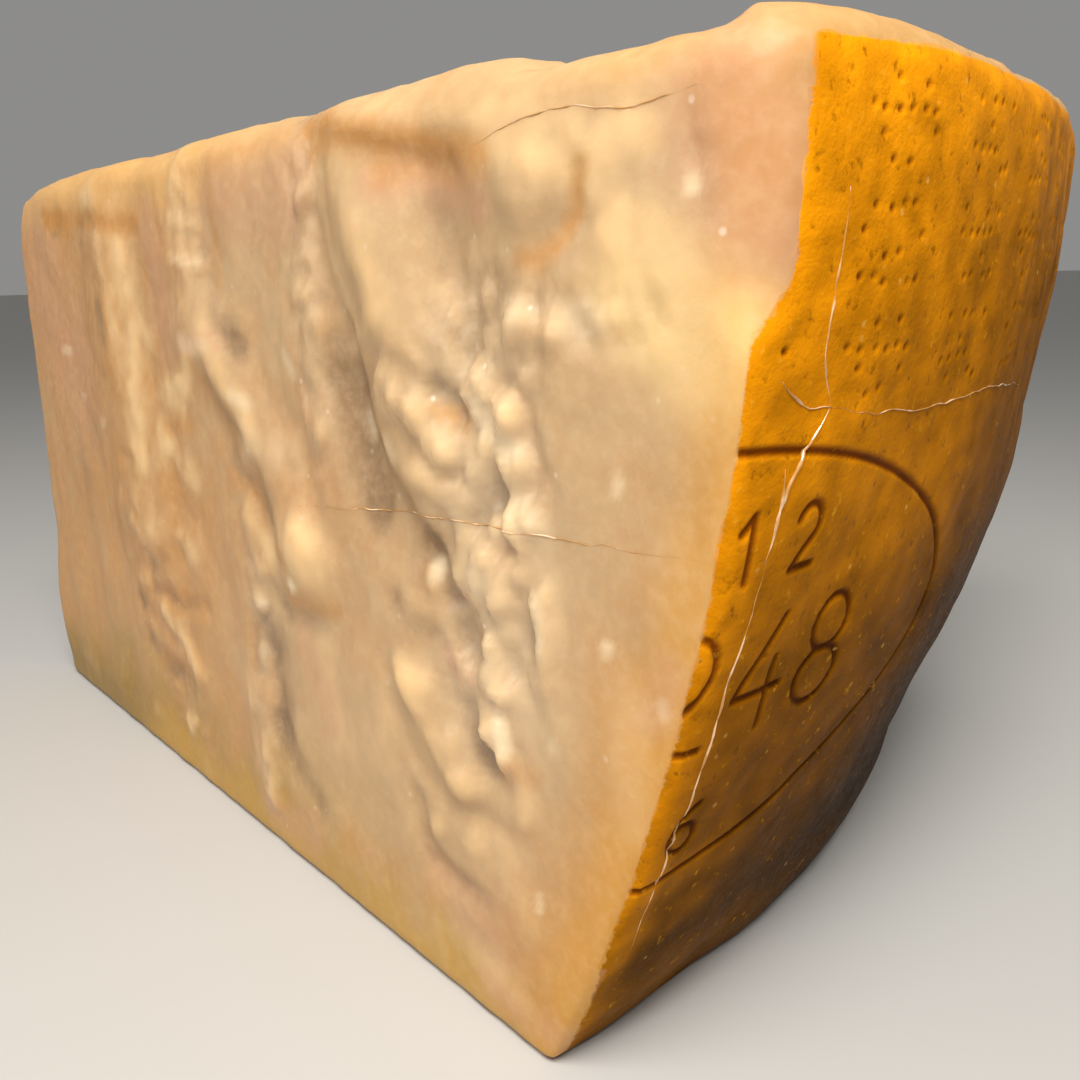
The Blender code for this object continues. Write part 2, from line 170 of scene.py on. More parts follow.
FRONT_LOBES = (
    (136, 53, 13, 10, 1.5, 1), (136.5, 54, 8.5, 7.5, 1, 0.6), (135, 45.5, 9, 2.6, 0, -0.6),
    (57, 108, 11, 4.5, 0.3, 0.9), (81, 82, 5, 8, 0.2, 0.7), (101, 79, 5, 5, 0.2, 0.6),
    (117, 96, 5, 6, 0.1, 0.8), (118, 53, 11, 9, 0.1, 0.9), (74, 49, 13, 9, 0.4, 0.7),
    (91, 46, 8, 7, 0.6, 0.9), (80, 39.5, 5, 2, 0.2, 0.6), (63, 31, 5, 4, -0.5, -1.2),
    (82, 11, 6.5, 5, 0.5, 1.5), (65, 7, 7, 4, 0.2, 1.3), (93, 75, 7, 3.6, 0.3, 0.7),
    (88, 92, 9, 16, -0.3, -0.35), (40, 70, 26, 40, 0, -0.3), (95, 91, 4.5, 2.4, -0.3, -0.8),
    (118, 66, 5, 3.4, 0.4, 1.2), (152, 75, 7, 10, -0.3, -0.8), (174, 95, 13, 9, -1.2, -0.5),
    (188, 101, 7, 6, 0.9, 0.5), (34, 104, 7, 4, -0.4, -1.8), (54, 103, 6, 2.4, -0.3, -0.5),
    (210, 91, 15, 11, 0.3, 1.6), (206, 105, 10, 6, 0.1, 1.1), (167, 17, 9, 3.6, -0.3, -0.6),
    (180, 23, 13, 9, 0, 0.6), (177, 7, 16, 7, 0, 1.2), (138, 38, 12, 24, 0, 0.55),
    (150, 30, 16, 26, 0, 0.25), (69, 93, 10, 7, 0, 0.6), (60, 85, 4, 10, 0, -0.9),
    (66, 60, 7, 3, -0.2, -0.5), (83, 25, 7, 5, 0.1, 0.9), (77, 86, 5, 5, 0, 0.6),
    (79, 77, 6, 4, 0, 0.4), (86, 47, 4, 4, 0.2, 0.5), (124, 50, 7, 9, 0, 0.6),
    (157, 86, 6, 5, 0.3, 0.8), (145, 89, 4, 4, -0.2, -0.6), (174, 76, 5, 3.5, -0.3, -1.1),
    (178, 66, 5, 4, 0, -0.8), (180, 49, 6, 3, -0.2, -1.1), (195, 102, 6, 5, 0.1, 0.6),
)
# Crumbs are lobes that meet in valleys; their tone makes their tops lighter, partly as painted
# highlight.
FRONT_CRUMBS = (
    (168, 57, 3, 2.6, 0.9, 0.9), (165, 41, 5, 4, 1, 0.9), (160.5, 79, 4.6, 3.6, 0.9, 0.8),
    (167, 77, 4.4, 3.4, 1, 1), (171.5, 73, 5, 3.6, 1.1, 1), (178, 70.5, 3.6, 2.8, 0.9, 0.5),
    (166, 69, 4, 3, 0.7, 0.6), (173.5, 67, 4.2, 2.8, 0.7, 0.1), (179, 80, 4.2, 3.6, 0.9, 0.7),
    (184, 77, 4, 4, 1, 1), (183, 84, 3.6, 3, 0.8, 0.6), (181, 73, 3.4, 3.4, 1, 1),
    (187, 66, 4, 3.4, 1, 0.7), (181, 63, 3.6, 3.4, 0.8, 0.5), (178.5, 59, 7, 5.6, 1.5, 1.3),
    (180, 53, 4, 3.6, 0.9, 1), (189, 56, 3.4, 5, 1.1, 0.6), (185, 60, 3.2, 3.4, 0.8, 0.7),
    (174, 47, 3.6, 3, 0.7, 0.6), (163, 51, 4, 3.6, 0.5, 0.4), (174, 31, 5, 3, 0.6, 0.1),
    (186, 33, 4, 3.6, 0.4, 0.8), (117, 57, 5, 3.4, 0.4, 0.6), (134, 69, 3, 2.8, 0.5, 0.6),
    (117.5, 42.5, 3, 2.6, 0.6, 0.8), (116.5, 33, 2.6, 2.4, 0.4, 0.4), (115, 25, 4.6, 5, 0.5, 0.7),
    (117, 12, 4, 5, 0.3, 0.4), (142, 84, 4, 4.4, 0.5, 0.4), (142, 103, 3.6, 3, 0.4, 0.2),
    (145, 74, 4, 4.6, 0.4, 0.4), (166, 23, 3, 2.4, 0.4, 0.8), (175, 23.5, 3.2, 2.4, 0.4, 0.6),
    (186, 88, 3.4, 2.6, 0.7, 0.5), (192, 87, 3.6, 2.6, 0.6, 0.5),
)
# Stretches where the paste broke into crumbs: a fold's height here is that of the crumbs,
# and its tone sets the painted highlight on their tops and painted shade between them.
FRONT_CRUMBLY = (
    ([(181, 84), (184, 68), (182, 54), (178, 42)], 12, 15, 1.2, 0.9),
    ([(160, 80), (172, 74)], 7, 7, 0.6, 0.5), ([(184, 88), (204, 88)], 5, 5, 0.7, 0.6),
    ([(212, 103), (215, 94)], 6, 6, 0.4, 0.3), ([(141, 112), (141, 70)], 7, 7, 0.6, 0.6),
    ([(100, 112), (102, 88)], 9, 9, 0.4, 0.3), ([(62, 48), (88, 10)], 14, 16, 0.3, 0.6),
    ([(90, 76), (90, 44)], 9, 9, 0.25, 0.4), ([(117, 48), (117, 6)], 7, 7, 0.5, 0.5),
)
REAR_FOLDS = (
    ([(44, 112), (47, 90), (43, 66), (49, 40), (46, 18)], 10, 14, 1.6, 0.9),
    ([(58, 110), (60, 84), (57, 60), (64, 36)], 9, 5, -1.4, -0.5),
    ([(92, 112), (96, 92), (90, 74), (98, 52), (104, 30), (101, 10)], 8, 13, 1.9, 0.9),
    ([(112, 104), (116, 82), (123, 62), (120, 40)], 5, 11, -1.9, -0.6),
    ([(134, 112), (138, 94), (147, 78), (150, 58), (143, 36)], 13, 8, 2, 1),
    ([(160, 96), (166, 76), (163, 54), (170, 34), (167, 16)], 5, 10, -1.7, -0.5),
    ([(183, 106), (186, 84), (181, 62)], 9, 8, 1.2, 0.6),
    ([(120, 109), (140, 107), (158, 108)], 9, 4, -1.3, -0.1),
)
REAR_LOBES = (
    (75, 32, 11, 9, 1.5, 0.8), (73, 78, 10, 13, -1, -0.4), (128, 22, 10, 8, 1.4, 0.8),
    (152, 40, 8, 8, 1.7, 0.9), (178, 40, 8, 10, 1.4, 0.8), (121, 92, 9, 10, 1.2, 0.6),
    (190, 90, 10, 12, -0.8, -0.3),
)
REAR_CRUMBLY = (
    ([(150, 76), (156, 54), (146, 34)], 13, 13, 1.1, 0.8),
    ([(98, 56), (104, 26)], 10, 10, 0.8, 0.6), ([(182, 92), (186, 60)], 10, 10, 0.8, 0.6),
    ([(46, 60), (50, 24)], 8, 8, 0.6, 0.4),
)
# Places on the split top are (x, y) from the wheel's axis.
TOP_FOLDS = (
    ([(52, 14), (80, 26), (104, 30), (132, 46)], 9, 9, 1.4, 0.5),
    ([(92, 62), (120, 74), (150, 82)], 6, 12, -1.6, -0.6),
    ([(120, 14), (150, 30), (182, 36)], 10, 7, 1.2, 0.5),
    ([(118, 104), (140, 98), (168, 104)], 9, 9, 1.4, 0.5),
    ([(204, -1), (200, 3), (190, 14), (178, 26)], 8.5, 8, -1.8, 0),
    ([(213.5, 0), (210.5, 3), (200, 13.5)], 5, 4, -1.6, 0),
)
TOP_LOBES = (
    (190, 4, 10, 12, -2.2, 0), (42, 6, 26, 20, 1.2, 0), (206, 66, 16, 26, -1.1, 0),
    (160, 60, 16, 11, -1.4, -0.5), (96, 44, 12, 9, 1.4, 0.5),
)
TOP_CRUMBLY = (
    ([(90, 34), (150, 62), (176, 96)], 26, 26, 1, 0.7),
    ([(160, 24), (200, 44)], 18, 18, 0.8, 0.6),
)
# Places on the rind are (length round the rind at its largest radius, height).
RIND_LOBES = (
    (92, 104, 62, 50, -2, 0), (105, 76, 60, 20, -1, 0), (100, 28, 56, 20, -1.3, 0),
    (95, 5, 66, 13, 1.8, 0), (20, 0, 36, 9, -1.1, 0),
)


def hump(distance):
    """Rounded profile: 1 at distance 0, falling smoothly to 0 at distance 1 and beyond."""
    return np.clip(1 - distance ** 2, 0, None) ** 2


def ease(value, start, end):
    """0 before start, 1 after end and a smooth rise between them."""
    share = np.clip((value - start) / (end - start), 0, 1)
    return share * share * (3 - 2 * share)


def nearest_on_path(along, up, path):
    """Distance to a path of straight runs, and the side: 1 on its left, -1 on its right."""
    nearest = np.full(np.shape(along), np.inf)
    lean = np.zeros(np.shape(along))
    for (a0, u0), (a1, u1) in zip(path, path[1:]):
        run_along, run_up = a1 - a0, u1 - u0
        length = math.hypot(run_along, run_up)
        share = (along - a0) * run_along + (up - u0) * run_up
        share = np.clip(share / length ** 2, 0, 1)
        gap = np.hypot(along - a0 - share * run_along, up - u0 - share * run_up)
        offset = run_along * (up - u0) - run_up * (along - a0)
        closer = gap < nearest
        nearest = np.where(closer, gap, nearest)
        lean = np.where(closer, offset / (length * np.maximum(gap, 1e-6)), lean)
    return nearest, np.clip(lean, -1, 1)


def fold_share(along, up, path, left, right):
    """How much of a fold is present at each place, from 0 to 1."""
    gap, lean = nearest_on_path(along, up, path)
    return hump(gap / (right + (left - right) * (0.5 + 0.5 * lean)))


def flat_points(along, up):
    """Places on a face as points of one plane."""
    return np.stack([along, up, np.zeros_like(along)], axis=1)


def waves(points, size, seed):
    """Smooth unevenness from -1 to 1; size is a wave's length, the same or one for each axis."""
    places = points / np.array(size, dtype=float) + (0, 0, seed)
    return np.array([noise.noise(Vector(place)) for place in places.tolist()])


def crumbs_at(points, size, seed):
    """Rounded lumps of about a size that meet in valleys, from 0 to 1."""
    places = points / size + (0, 0, seed)
    gaps = np.array([noise.voronoi(Vector(place))[0][0] for place in places.tolist()])
    return np.clip(1 - 2.6 * gaps ** 2, 0, 1)


def relief(along, up, folds, lobes, crumbs=(), crumbly=(), seed=0):
    """Height of a face's relief, in millimetres, and its tone with painted light at each place."""
    flat = flat_points(along, up)
    along = along + 1.1 * waves(flat, (12, 18, 1), seed + 0.5)
    along = along + 0.9 * waves(flat, (5, 6.5, 1), seed + 2.5)
    up = up + 1.1 * waves(flat, (11, 12, 1), seed + 4.5)
    up = up + 0.7 * waves(flat, (5, 4, 1), seed + 5.5)
    height, tone_and_painted_light, lump, pale = np.zeros((4, len(along)))
    for path, left, right, rise, shade in folds:
        share = fold_share(along, up, path, left, right)
        height += rise * share
        tone_and_painted_light += shade * share
    for middle, level, half_length, half_height, rise, shade in lobes:
        share = hump(np.hypot((along - middle) / half_length, (up - level) / half_height))
        height += rise * share
        tone_and_painted_light += shade * share
    # Crumb tops are painted lighter: partly whiter paste, partly painted highlight.
    for middle, level, half_length, half_height, rise, shade in crumbs:
        share = 1 - np.hypot((along - middle) / half_length, (up - level) / half_height) ** 2
        lump = np.maximum(lump, rise * share)
        pale = np.maximum(pale, shade * share)
    tone_and_painted_light = (tone_and_painted_light + pale) * (0.9 + 0.8 * waves(flat, (8, 9, 1), seed + 13.5))
    height = height + lump + FACETS * crumbs_at(flat, 19, seed + 11)
    return broken_up(flat, along, up, height, tone_and_painted_light, crumbly, seed)


def broken_up(flat, along, up, height, tone_and_painted_light, crumbly, seed):
    """Add the small crumbs of the crumbly stretches, and fainter ones wherever it is pale."""
    warped = flat_points(along, up) * 0.6 + flat * 0.4
    grain = crumbs_at(warped, 5.4, seed + 7) + 0.5 * crumbs_at(warped, 2.8, seed + 9) - 0.8
    rise, painted_crumb_light = 0.15 * np.clip(tone_and_painted_light, 0, 1), 0.35 * np.clip(tone_and_painted_light, 0, 1)
    for path, left, right, crumb_rise, crumb_painted_light in crumbly:
        share = fold_share(along, up, path, left, right) ** 0.6
        rise = np.maximum(rise, crumb_rise * share)
        painted_crumb_light = np.maximum(painted_crumb_light, crumb_painted_light * share)
    # Painted highlight on the crumbs' tops and painted shade in the valleys between them.
    return height + rise * grain, tone_and_painted_light + painted_crumb_light * grain


# -------- outline of the wedge

def rind_radius(height):
    """Radius of the rind at a height above the base."""
    share = height / CHUNK_HEIGHT
    straight = RADIUS_AT_BASE + (RADIUS_AT_TOP - RADIUS_AT_BASE) * share
    return straight + RIND_BULGE * 4 * share * (1 - share)


def round_rind_at(x, y):
    """Length round the rind, at its largest radius, from the front split face."""
    return RADIUS_AT_TOP * np.arctan2(y, x)


def across(x, y):
    """Mirror places in the upright plane through the tip and the middle of the rind."""
    cosine, sine = math.cos(WEDGE_ANGLE), math.sin(WEDGE_ANGLE)
    return x * cosine + y * sine, x * sine - y * cosine


def columns():
    """Side and share along it of each column, round from the tip over the front face."""
    steps = np.linspace(0, 1, FRONT_COLUMNS + 1)
    front = [(FRONT, (1 + FRONT_CROWDING * (1 - step)) * step) for step in steps]
    rind = [(RIND, i / RIND_COLUMNS) for i in range(1, RIND_COLUMNS + 1)]
    rear = [(REAR, 1 - i / REAR_COLUMNS) for i in range(1, REAR_COLUMNS)]
    side, share = zip(*(front + rind + rear))
    return np.array(side), np.array(share)


def blunted(corner, towards_a, towards_b, width, distance):
    """Points of a curve that cuts a corner; distance is negative on the side of a."""
    step = 0.5 + 0.5 * distance / width
    weight_a, weight_b = width * (1 - step) ** 2, width * step ** 2
    return [corner[i] + weight_a * towards_a[i] + weight_b * towards_b[i] for i in range(2)]


def corner_width(height, side_is_front):
    """Length over which an upright rind edge is blunted at a height."""
    chip = CORNER_CHIP * ease(height, CORNER_CHIP_START, CORNER_CHIP_START + CORNER_CHIP_RUN)
    return CORNER_SOFTENING + np.where(side_is_front, chip, 0)


def outline(side, share, inset, height):
    """Plan places and outward directions of the columns, moved in by inset."""
    radius = rind_radius(height) - inset
    start = inset / math.tan(HALF_ANGLE)
    end = np.sqrt(radius ** 2 - inset ** 2)
    first_angle = np.arcsin(inset / radius)
    room = 1 - inset / CENTRE_INSET
    on_rind = side == RIND
    mirrored = (side == REAR) | (on_rind & (share > 0.5))

    face_x = start + share * (end - start)
    near_share = np.where(mirrored, 1 - share, share)
    angle = first_angle + near_share * (WEDGE_ANGLE - 2 * first_angle)
    x = np.where(on_rind, radius * np.cos(angle), face_x)
    y = np.where(on_rind, radius * np.sin(angle), inset)
    out_x = np.where(on_rind, np.cos(angle), 0)
    out_y = np.where(on_rind, np.sin(angle), -1)

    tip = np.maximum(TIP_SOFTENING * room, 0.01)
    from_tip = face_x - start
    tip_x, tip_y = blunted((start, inset), (1, 0), (math.cos(WEDGE_ANGLE), math.sin(WEDGE_ANGLE)),
                           tip, -from_tip)
    at_tip = ~on_rind & (from_tip < tip)
    x, y = np.where(at_tip, tip_x, x), np.where(at_tip, tip_y, y)

    width = np.maximum(corner_width(height, ~mirrored) * room, 0.01)
    past_corner = np.where(on_rind, radius * (angle - first_angle), face_x - end)
    edge_x, edge_y = blunted((end, inset), (-1, 0), (-np.sin(first_angle), np.cos(first_angle)),
                             width, past_corner)
    at_edge = np.abs(past_corner) < width
    x, y = np.where(at_edge, edge_x, x), np.where(at_edge, edge_y, y)

    near, far = (x, y, out_x, out_y), (*across(x, y), *across(out_x, out_y))
    return tuple(np.where(mirrored, there, here) for here, there in zip(near, far))


def tip_push(points):
    """How far each point moves away from the body near the tip, along the middle plane."""
    x, y, up = points.T
    head = np.clip((up - CHUNK_HEIGHT) / TIP_HEAD_RUN + 1, 0, 1)
    push = TIP_FOOT * hump((up - TIP_FOOT_HEIGHT) / TIP_FOOT_REACH) - TIP_HEAD * head ** 2
    return push * hump(np.hypot(x, y) / TIP_DROP_REACH) * ease(up, 0, 10)


def split_relief(points, folds, lobes, crumbs, crumbly, seed):
    """Relief and tone of an upright split face."""
    along, up = np.hypot(points[:, 0], points[:, 1]), points[:, 2]
    edge_gap = rind_radius(up) - along
    height, tone_and_painted_light = relief(along, up, folds, lobes, crumbs, crumbly, seed)
    fade = ease(along, 6, 22) * ease(edge_gap, 1, 9) * ease(up, 1, 9)
    broad = waves(points, (14, 14, 42), seed + 3.7)
    narrow = waves(points, (4, 4, 26), seed + 6.1)
    ripples = waves(points, (6, 6, 9), seed + 7.7)
    small = waves(points, (2.4, 2.4, 3.2), seed + 9.1)
    height = fade * (height + 0.4 * broad + 0.06 * narrow)
    height += ease(edge_gap, 0, 4) * (0.18 * ripples + 0.07 * small)
    # The tone is lighter where the relief's waves rise: painted highlight and shade.
    return height, fade * tone_and_painted_light + 0.3 * broad + 0.2 * narrow + 0.25 * ripples + 0.15 * small


def rind_relief(points):
    """Relief of the rind, slow waves with a fine cloth-pressed unevenness, and its mottle."""
    x, y, up = points.T
    height, _ = relief(round_rind_at(x, y), up, (), RIND_LOBES)
    height = height + 0.4 * waves(points, (30, 30, 22), 5.3)
    mottle = waves(points, 7, 2.2) + 0.6 * waves(points, 3, 8.2)
    return height + 0.1 * mottle, mottle


def top_relief(points):
    """Relief and tone of the split top: low folds, crumbs near its rim, the fall to the tip."""
    x, y, _ = points.T
    from_axis = np.hypot(x, y)
    from_faces = np.minimum(y, across(x, y)[1])
    calm = ease(np.minimum(from_faces, RADIUS_AT_TOP - from_axis), 6, 24)
    height, tone_and_painted_light = relief(x, y, TOP_FOLDS, TOP_LOBES, (), TOP_CRUMBLY, 40)
    calm_height, calm_tone_and_light = relief(x, y, TOP_FOLDS, TOP_LOBES, (), (), 40)
    height, tone_and_painted_light = height + calm * (calm_height - height), tone_and_painted_light + calm * (calm_tone_and_light - tone_and_painted_light)
    fall = -TIP_DROP * hump(from_axis / TIP_DROP_REACH)
    slope = TOP_SLOPE * ease(from_axis, 40, 120)
    swell = waves(points, 26, 1.9)
    grain = waves(points, 7, 4.6) + 0.5 * (1 - calm) * waves(points, 3, 6.9)
    height = height + fall + slope + 0.8 * swell + 0.25 * (1 - calm) * grain - 1
    # The tone is lighter where the swell and grain rise: painted highlight and shade.
    return height, tone_and_painted_light + 0.4 * swell + 0.25 * grain


# A row of columns before any relief: its sides, places, outward directions and tilt.
Row = namedtuple("Row", "side points outward tilt")


def row(side, share, inset, height, tilt):
    """One closed row of columns; tilt turns its outward directions from level to up."""
    inset, height = inset + np.zeros_like(share), height + np.zeros_like(share)
    x, y, out_x, out_y = outline(side, share, inset, height)
    level, rise = math.cos(tilt), math.sin(tilt)
    outward = np.stack([out_x * level, out_y * level, np.full_like(x, rise)], axis=1)
    return Row(side, np.stack([x, y, height], axis=1), outward, np.full_like(x, tilt))


def wall_rows(side, share):
    """Rows from the rim of the flat base up to the rim of the top."""
    zero = np.zeros_like(share)
    plan = flat_points(*outline(side, share, zero, zero)[:2])
    top_radius = TOP_ROUNDING * (1 + TOP_ROUNDING_SPREAD * waves(plan, (17, 17, 1), 6.4))
    rows = []
    for i in range(BASE_EDGE_ROWS + 1):
        turn = QUARTER * (1 - i / BASE_EDGE_ROWS)
        rows.append(row(side, share, BASE_ROUNDING * (1 - math.cos(turn)),
                        BASE_ROUNDING * (1 - math.sin(turn)), -turn))
    climb = CHUNK_HEIGHT - BASE_ROUNDING - top_radius
    for i in range(1, WALL_ROWS):
        rows.append(row(side, share, 0, BASE_ROUNDING + climb * i / WALL_ROWS, 0))
    for i in range(TOP_EDGE_ROWS + 1):
        turn = QUARTER * i / TOP_EDGE_ROWS
        rows.append(row(side, share, top_radius * (1 - math.cos(turn)),
                        CHUNK_HEIGHT - top_radius * (1 - math.sin(turn)), turn))
    return rows, top_radius


def rings(side, share, rim, counts, height, tilt):
    """Rings from a rim inwards, with fewer columns nearer the centre."""
    steps = [halvings for halvings, repeats in enumerate(counts) for _ in range(repeats)]
    made = []
    for ring, halvings in enumerate(steps, start=1):
        keep = slice(None, None, 2 ** halvings)
        inset = rim[keep] + (CENTRE_INSET - rim[keep]) * ring / (len(steps) + 1)
        made.append(row(side[keep], share[keep], inset, height, tilt))
    return made


def shaped(side, points, outward, tilt):
    """Points moved out by their relief, and the tone at each, with painted light on the paste."""
    depth, tone_and_painted_light = np.zeros((2, len(points)))
    level, rise = np.cos(tilt) ** 2, np.sin(tilt) ** 2
    wall = level > 0.001
    for here, weight, make, *parts in (
            (wall & (side == FRONT), level, split_relief, FRONT_FOLDS, FRONT_LOBES, FRONT_CRUMBS,
             FRONT_CRUMBLY, 0),
            (wall & (side == REAR), level, split_relief, REAR_FOLDS, REAR_LOBES, (),
             REAR_CRUMBLY, 60),
            (wall & (side == RIND), level, rind_relief), (tilt > 0, rise, top_relief)):
        part_depth, part_tone_and_light = make(points[here], *parts)
        depth[here] += weight[here] * part_depth
        tone_and_painted_light[here] += weight[here] * part_tone_and_light
    middle = np.array([math.cos(HALF_ANGLE), math.sin(HALF_ANGLE), 0])
    return points + depth[:, None] * outward - tip_push(points)[:, None] * middle, tone_and_painted_light


# -------- marks cut in the rind

def arc(middle_x, middle_y, radius_x, radius_y, first, last, steps=10):
    """Points of an arc between two angles in degrees."""
    turns = np.radians(np.linspace(first, last, steps + 1))
    return [(middle_x + radius_x * math.cos(t), middle_y + radius_y * math.sin(t)) for t in turns]


# Strokes of plain figures in a cell one unit high.
FIGURES = {
    "1": ([(0.12, 0.76), (0.36, 1), (0.36, 0)],),
    "2": (arc(0.3, 0.7, 0.28, 0.3, 165, -40) + [(0.04, 0), (0.62, 0)],),
    "4": ([(0.42, 1), (0.02, 0.34), (0.64, 0.34)], [(0.46, 0.62), (0.46, 0)]),
    "6": (arc(0.72, 0.34, 0.7, 0.68, 110, 180) + arc(0.32, 0.3, 0.3, 0.3, 180, 540),),
    "8": (arc(0.31, 0.75, 0.24, 0.25, 0, 360, 14), arc(0.31, 0.26, 0.3, 0.26, 0, 360, 14)),
}
# Figures on the rind: text, left end and foot of the line, height and spacing of the figures.
FIGURE_LINES = (("12", (1.5, 64.5), 6.5, 9), ("248", (-4.5, 46.5), 13, 11.6),
                ("6", (4, 32.5), 6.5, 8))
OVAL_CENTRE_HEIGHT = 53
OVAL_HALF_LENGTH = 51
OVAL_HALF_HEIGHT = 24
OVAL_POWER = 1.8                      # 2 would be an ellipse
STROKE_HALF_WIDTH = 0.68
STROKE_DEPTH = 0.42

DOT_RADIUS = 0.6
DOT_DEPTH = 0.35
DOT_PITCH = 2.1
DOT_JITTER = 0.35
LONE_DOT = (4.5, 85.5, 1)
MOTIF_PITCH = 10.4                    # from one motif to the next below it
BAND_PITCH = 20.4                     # from one band of motifs to the next round the rind
BAND_START = 13.5
BAND_TOP = 108
BAND_ROWS = 3
# Motifs of pricked dots: rows from the top down, with a dot at each #.
MOTIFS = (
    ("..#.#.", "######", ".#...#", "..##.."), ("#.##.#", "..#...", "####..", ".#..##"),
    (".####.", "#....#", "..##..", "###.##"), ("#..#.#", "#####.", "...#..", ".##.##"),
)


def figure_strokes():
    """Paths of all the figures, as (length round the rind, height)."""
    return [[(left + index * spacing + height * x, foot + height * y) for x, y in stroke]
            for text, (left, foot), height, spacing in FIGURE_LINES
            for index, letter in enumerate(text) for stroke in FIGURES[letter]]


def oval_stroke():
    """The half of the oval line that lies on the rind."""
    return [(OVAL_HALF_LENGTH * abs(math.cos(t)) ** (2 / OVAL_POWER),
             OVAL_CENTRE_HEIGHT + OVAL_HALF_HEIGHT
             * math.copysign(abs(math.sin(t)) ** (2 / OVAL_POWER), math.sin(t)))
            for t in np.linspace(-QUARTER, QUARTER, 61)]


def pricked_dots():
    """Middles and strengths of the pricked dots: (length round the rind, height, strength)."""
    draw = np.random.RandomState(5)
    dots = [LONE_DOT]
    bands = int((RADIUS_AT_TOP * WEDGE_ANGLE - BAND_START) // BAND_PITCH) + 1
    for band, level in ((band, level) for band in range(bands) for level in range(BAND_ROWS)):
        for line, marks in enumerate(MOTIFS[(band + 2 * level) % len(MOTIFS)]):
            for column in (i for i, mark in enumerate(marks) if mark == "#"):
                aside, above = draw.uniform(-DOT_JITTER, DOT_JITTER, 2)
                dots.append((BAND_START + band * BAND_PITCH + column * DOT_PITCH + aside,
                             BAND_TOP - level * MOTIF_PITCH - line * DOT_PITCH + above,
                             draw.uniform(0.3, 1)))
    return dots


STROKES = [*figure_strokes(), oval_stroke()]
DOTS = pricked_dots()


def marks_near(round_rind, up):
    """For each mark the distance of every place, its half width, depth, painted shade and core."""
    for stroke in STROKES:
        yield nearest_on_path(round_rind, up, stroke)[0], STROKE_HALF_WIDTH, STROKE_DEPTH, 1, 0.3
    for along, height, strength in DOTS:
        yield np.hypot(round_rind - along, up - height), DOT_RADIUS, DOT_DEPTH, strength, 0.25


def mark_depths(round_rind, up):
    """Depth of the marks and the painted shade in them at each place on the rind."""
    depth, mark_painted_shade = np.zeros((2, len(up)))
    for gap, reach, cut, strength, core in marks_near(round_rind, up):
        depth = np.maximum(depth, cut * hump(gap / reach))
        mark_painted_shade = np.maximum(mark_painted_shade, strength * ease(gap, reach, core * reach))
    return depth, mark_painted_shade


def mark_gap(round_rind, up):
    """Distance from each place on the rind to the rim of the nearest mark."""
    nearest = np.full(np.shape(up), np.inf)
    for gap, reach, *_ in marks_near(round_rind, up):
        nearest = np.minimum(nearest, gap - reach)
    return nearest


def rind_places(points):
    """Length round the rind, height, and whether each point lies on the rind."""
    x, y, up = points.T
    depth = rind_radius(up) - np.hypot(x, y)
    on_rind = (depth < RIND_DEPTH) & (y > -0.2) & (up < CHUNK_HEIGHT - 1.5) & (up > 1)
    return round_rind_at(x, y), up, on_rind


# -------- mesh of the chunk

def join_rows(lower, upper):
    """Faces between two closed rows; the upper one has as many columns or half as many."""
    count, faces = len(upper), []
    for i in range(count):
        after = (i + 1) % count
        if len(lower) == count:
            faces.append((lower[i], lower[after], upper[after], upper[i]))
        else:
            start, middle, end = lower[2 * i], lower[2 * i + 1], lower[2 * after]
            faces += [(start, middle, upper[i]), (middle, end, upper[after]),
                      (middle, upper[after], upper[i])]
    return faces


def cap_faces(loop, centre):
    """A fan of faces from a ring to a centre point."""
    return [(loop[i], loop[(i + 1) % len(loop)], centre) for i in range(len(loop))]


def chunk_grid():
    """Points, tones and faces of the wedge before its marks are cut."""
    side, share = columns()
    walls, top_radius = wall_rows(side, share)
    base_rim = np.full_like(share, BASE_ROUNDING)
    top = rings(side, share, top_radius, TOP_RINGS, CHUNK_HEIGHT, QUARTER)
    base = rings(side, share, base_rim, BASE_RINGS, 0, -QUARTER)
    rows = base[::-1] + walls + top
    points, tones_and_painted_light = shaped(*(np.concatenate(part) for part in zip(*rows)))
    starts = np.cumsum([0] + [len(a_row.side) for a_row in rows])
    loops = [list(range(a, b)) for a, b in zip(starts, starts[1:])]
    upwards, downwards = loops[len(base):], loops[len(base)::-1]
    faces, flipped = [], []
    for made, chain in ((faces, upwards), (flipped, downwards)):
        for lower, upper in zip(chain, chain[1:]):
            made += join_rows(lower, upper)
    faces += [face[::-1] for face in flipped]
    faces += cap_faces(loops[-1], len(points))
    faces += [face[::-1] for face in cap_faces(loops[0], len(points) + 1)]
    points = np.vstack([points, points[loops[-1]].mean(axis=0), points[loops[0]].mean(axis=0)])
    return points, np.append(tones_and_painted_light, [0, 0]), faces


def refine_near_marks(mesh, reach):
    """Split the edges of the rind's faces that lie within reach of a mark."""
    faces = list(mesh.faces)
    round_rind, up, on_rind = rind_places(np.array([face.calc_center_median() for face in faces]))
    picked = np.zeros(len(faces), dtype=bool)
    picked[on_rind] = mark_gap(round_rind[on_rind], up[on_rind]) < reach
    edges = {edge for face, chosen in zip(faces, picked) if chosen for edge in face.edges}
    bmesh.ops.subdivide_edges(mesh, edges=list(edges), cuts=1, use_grid_fill=True,
                              use_single_edge=True)


def read_vertices(items, name, width=3):
    """A measure of every vertex as an array."""
    values = np.empty(len(items) * width)
    items.foreach_get(name, values)
    return values.reshape(-1, width).squeeze()


def vertex_places(data):
    """Vertex places of a mesh as an array."""
    return read_vertices(data.vertices, "co")


def get_attribute(data, name):
    """One number per vertex that was stored before."""
    return read_vertices(data.attributes[name].data, "value", 1)


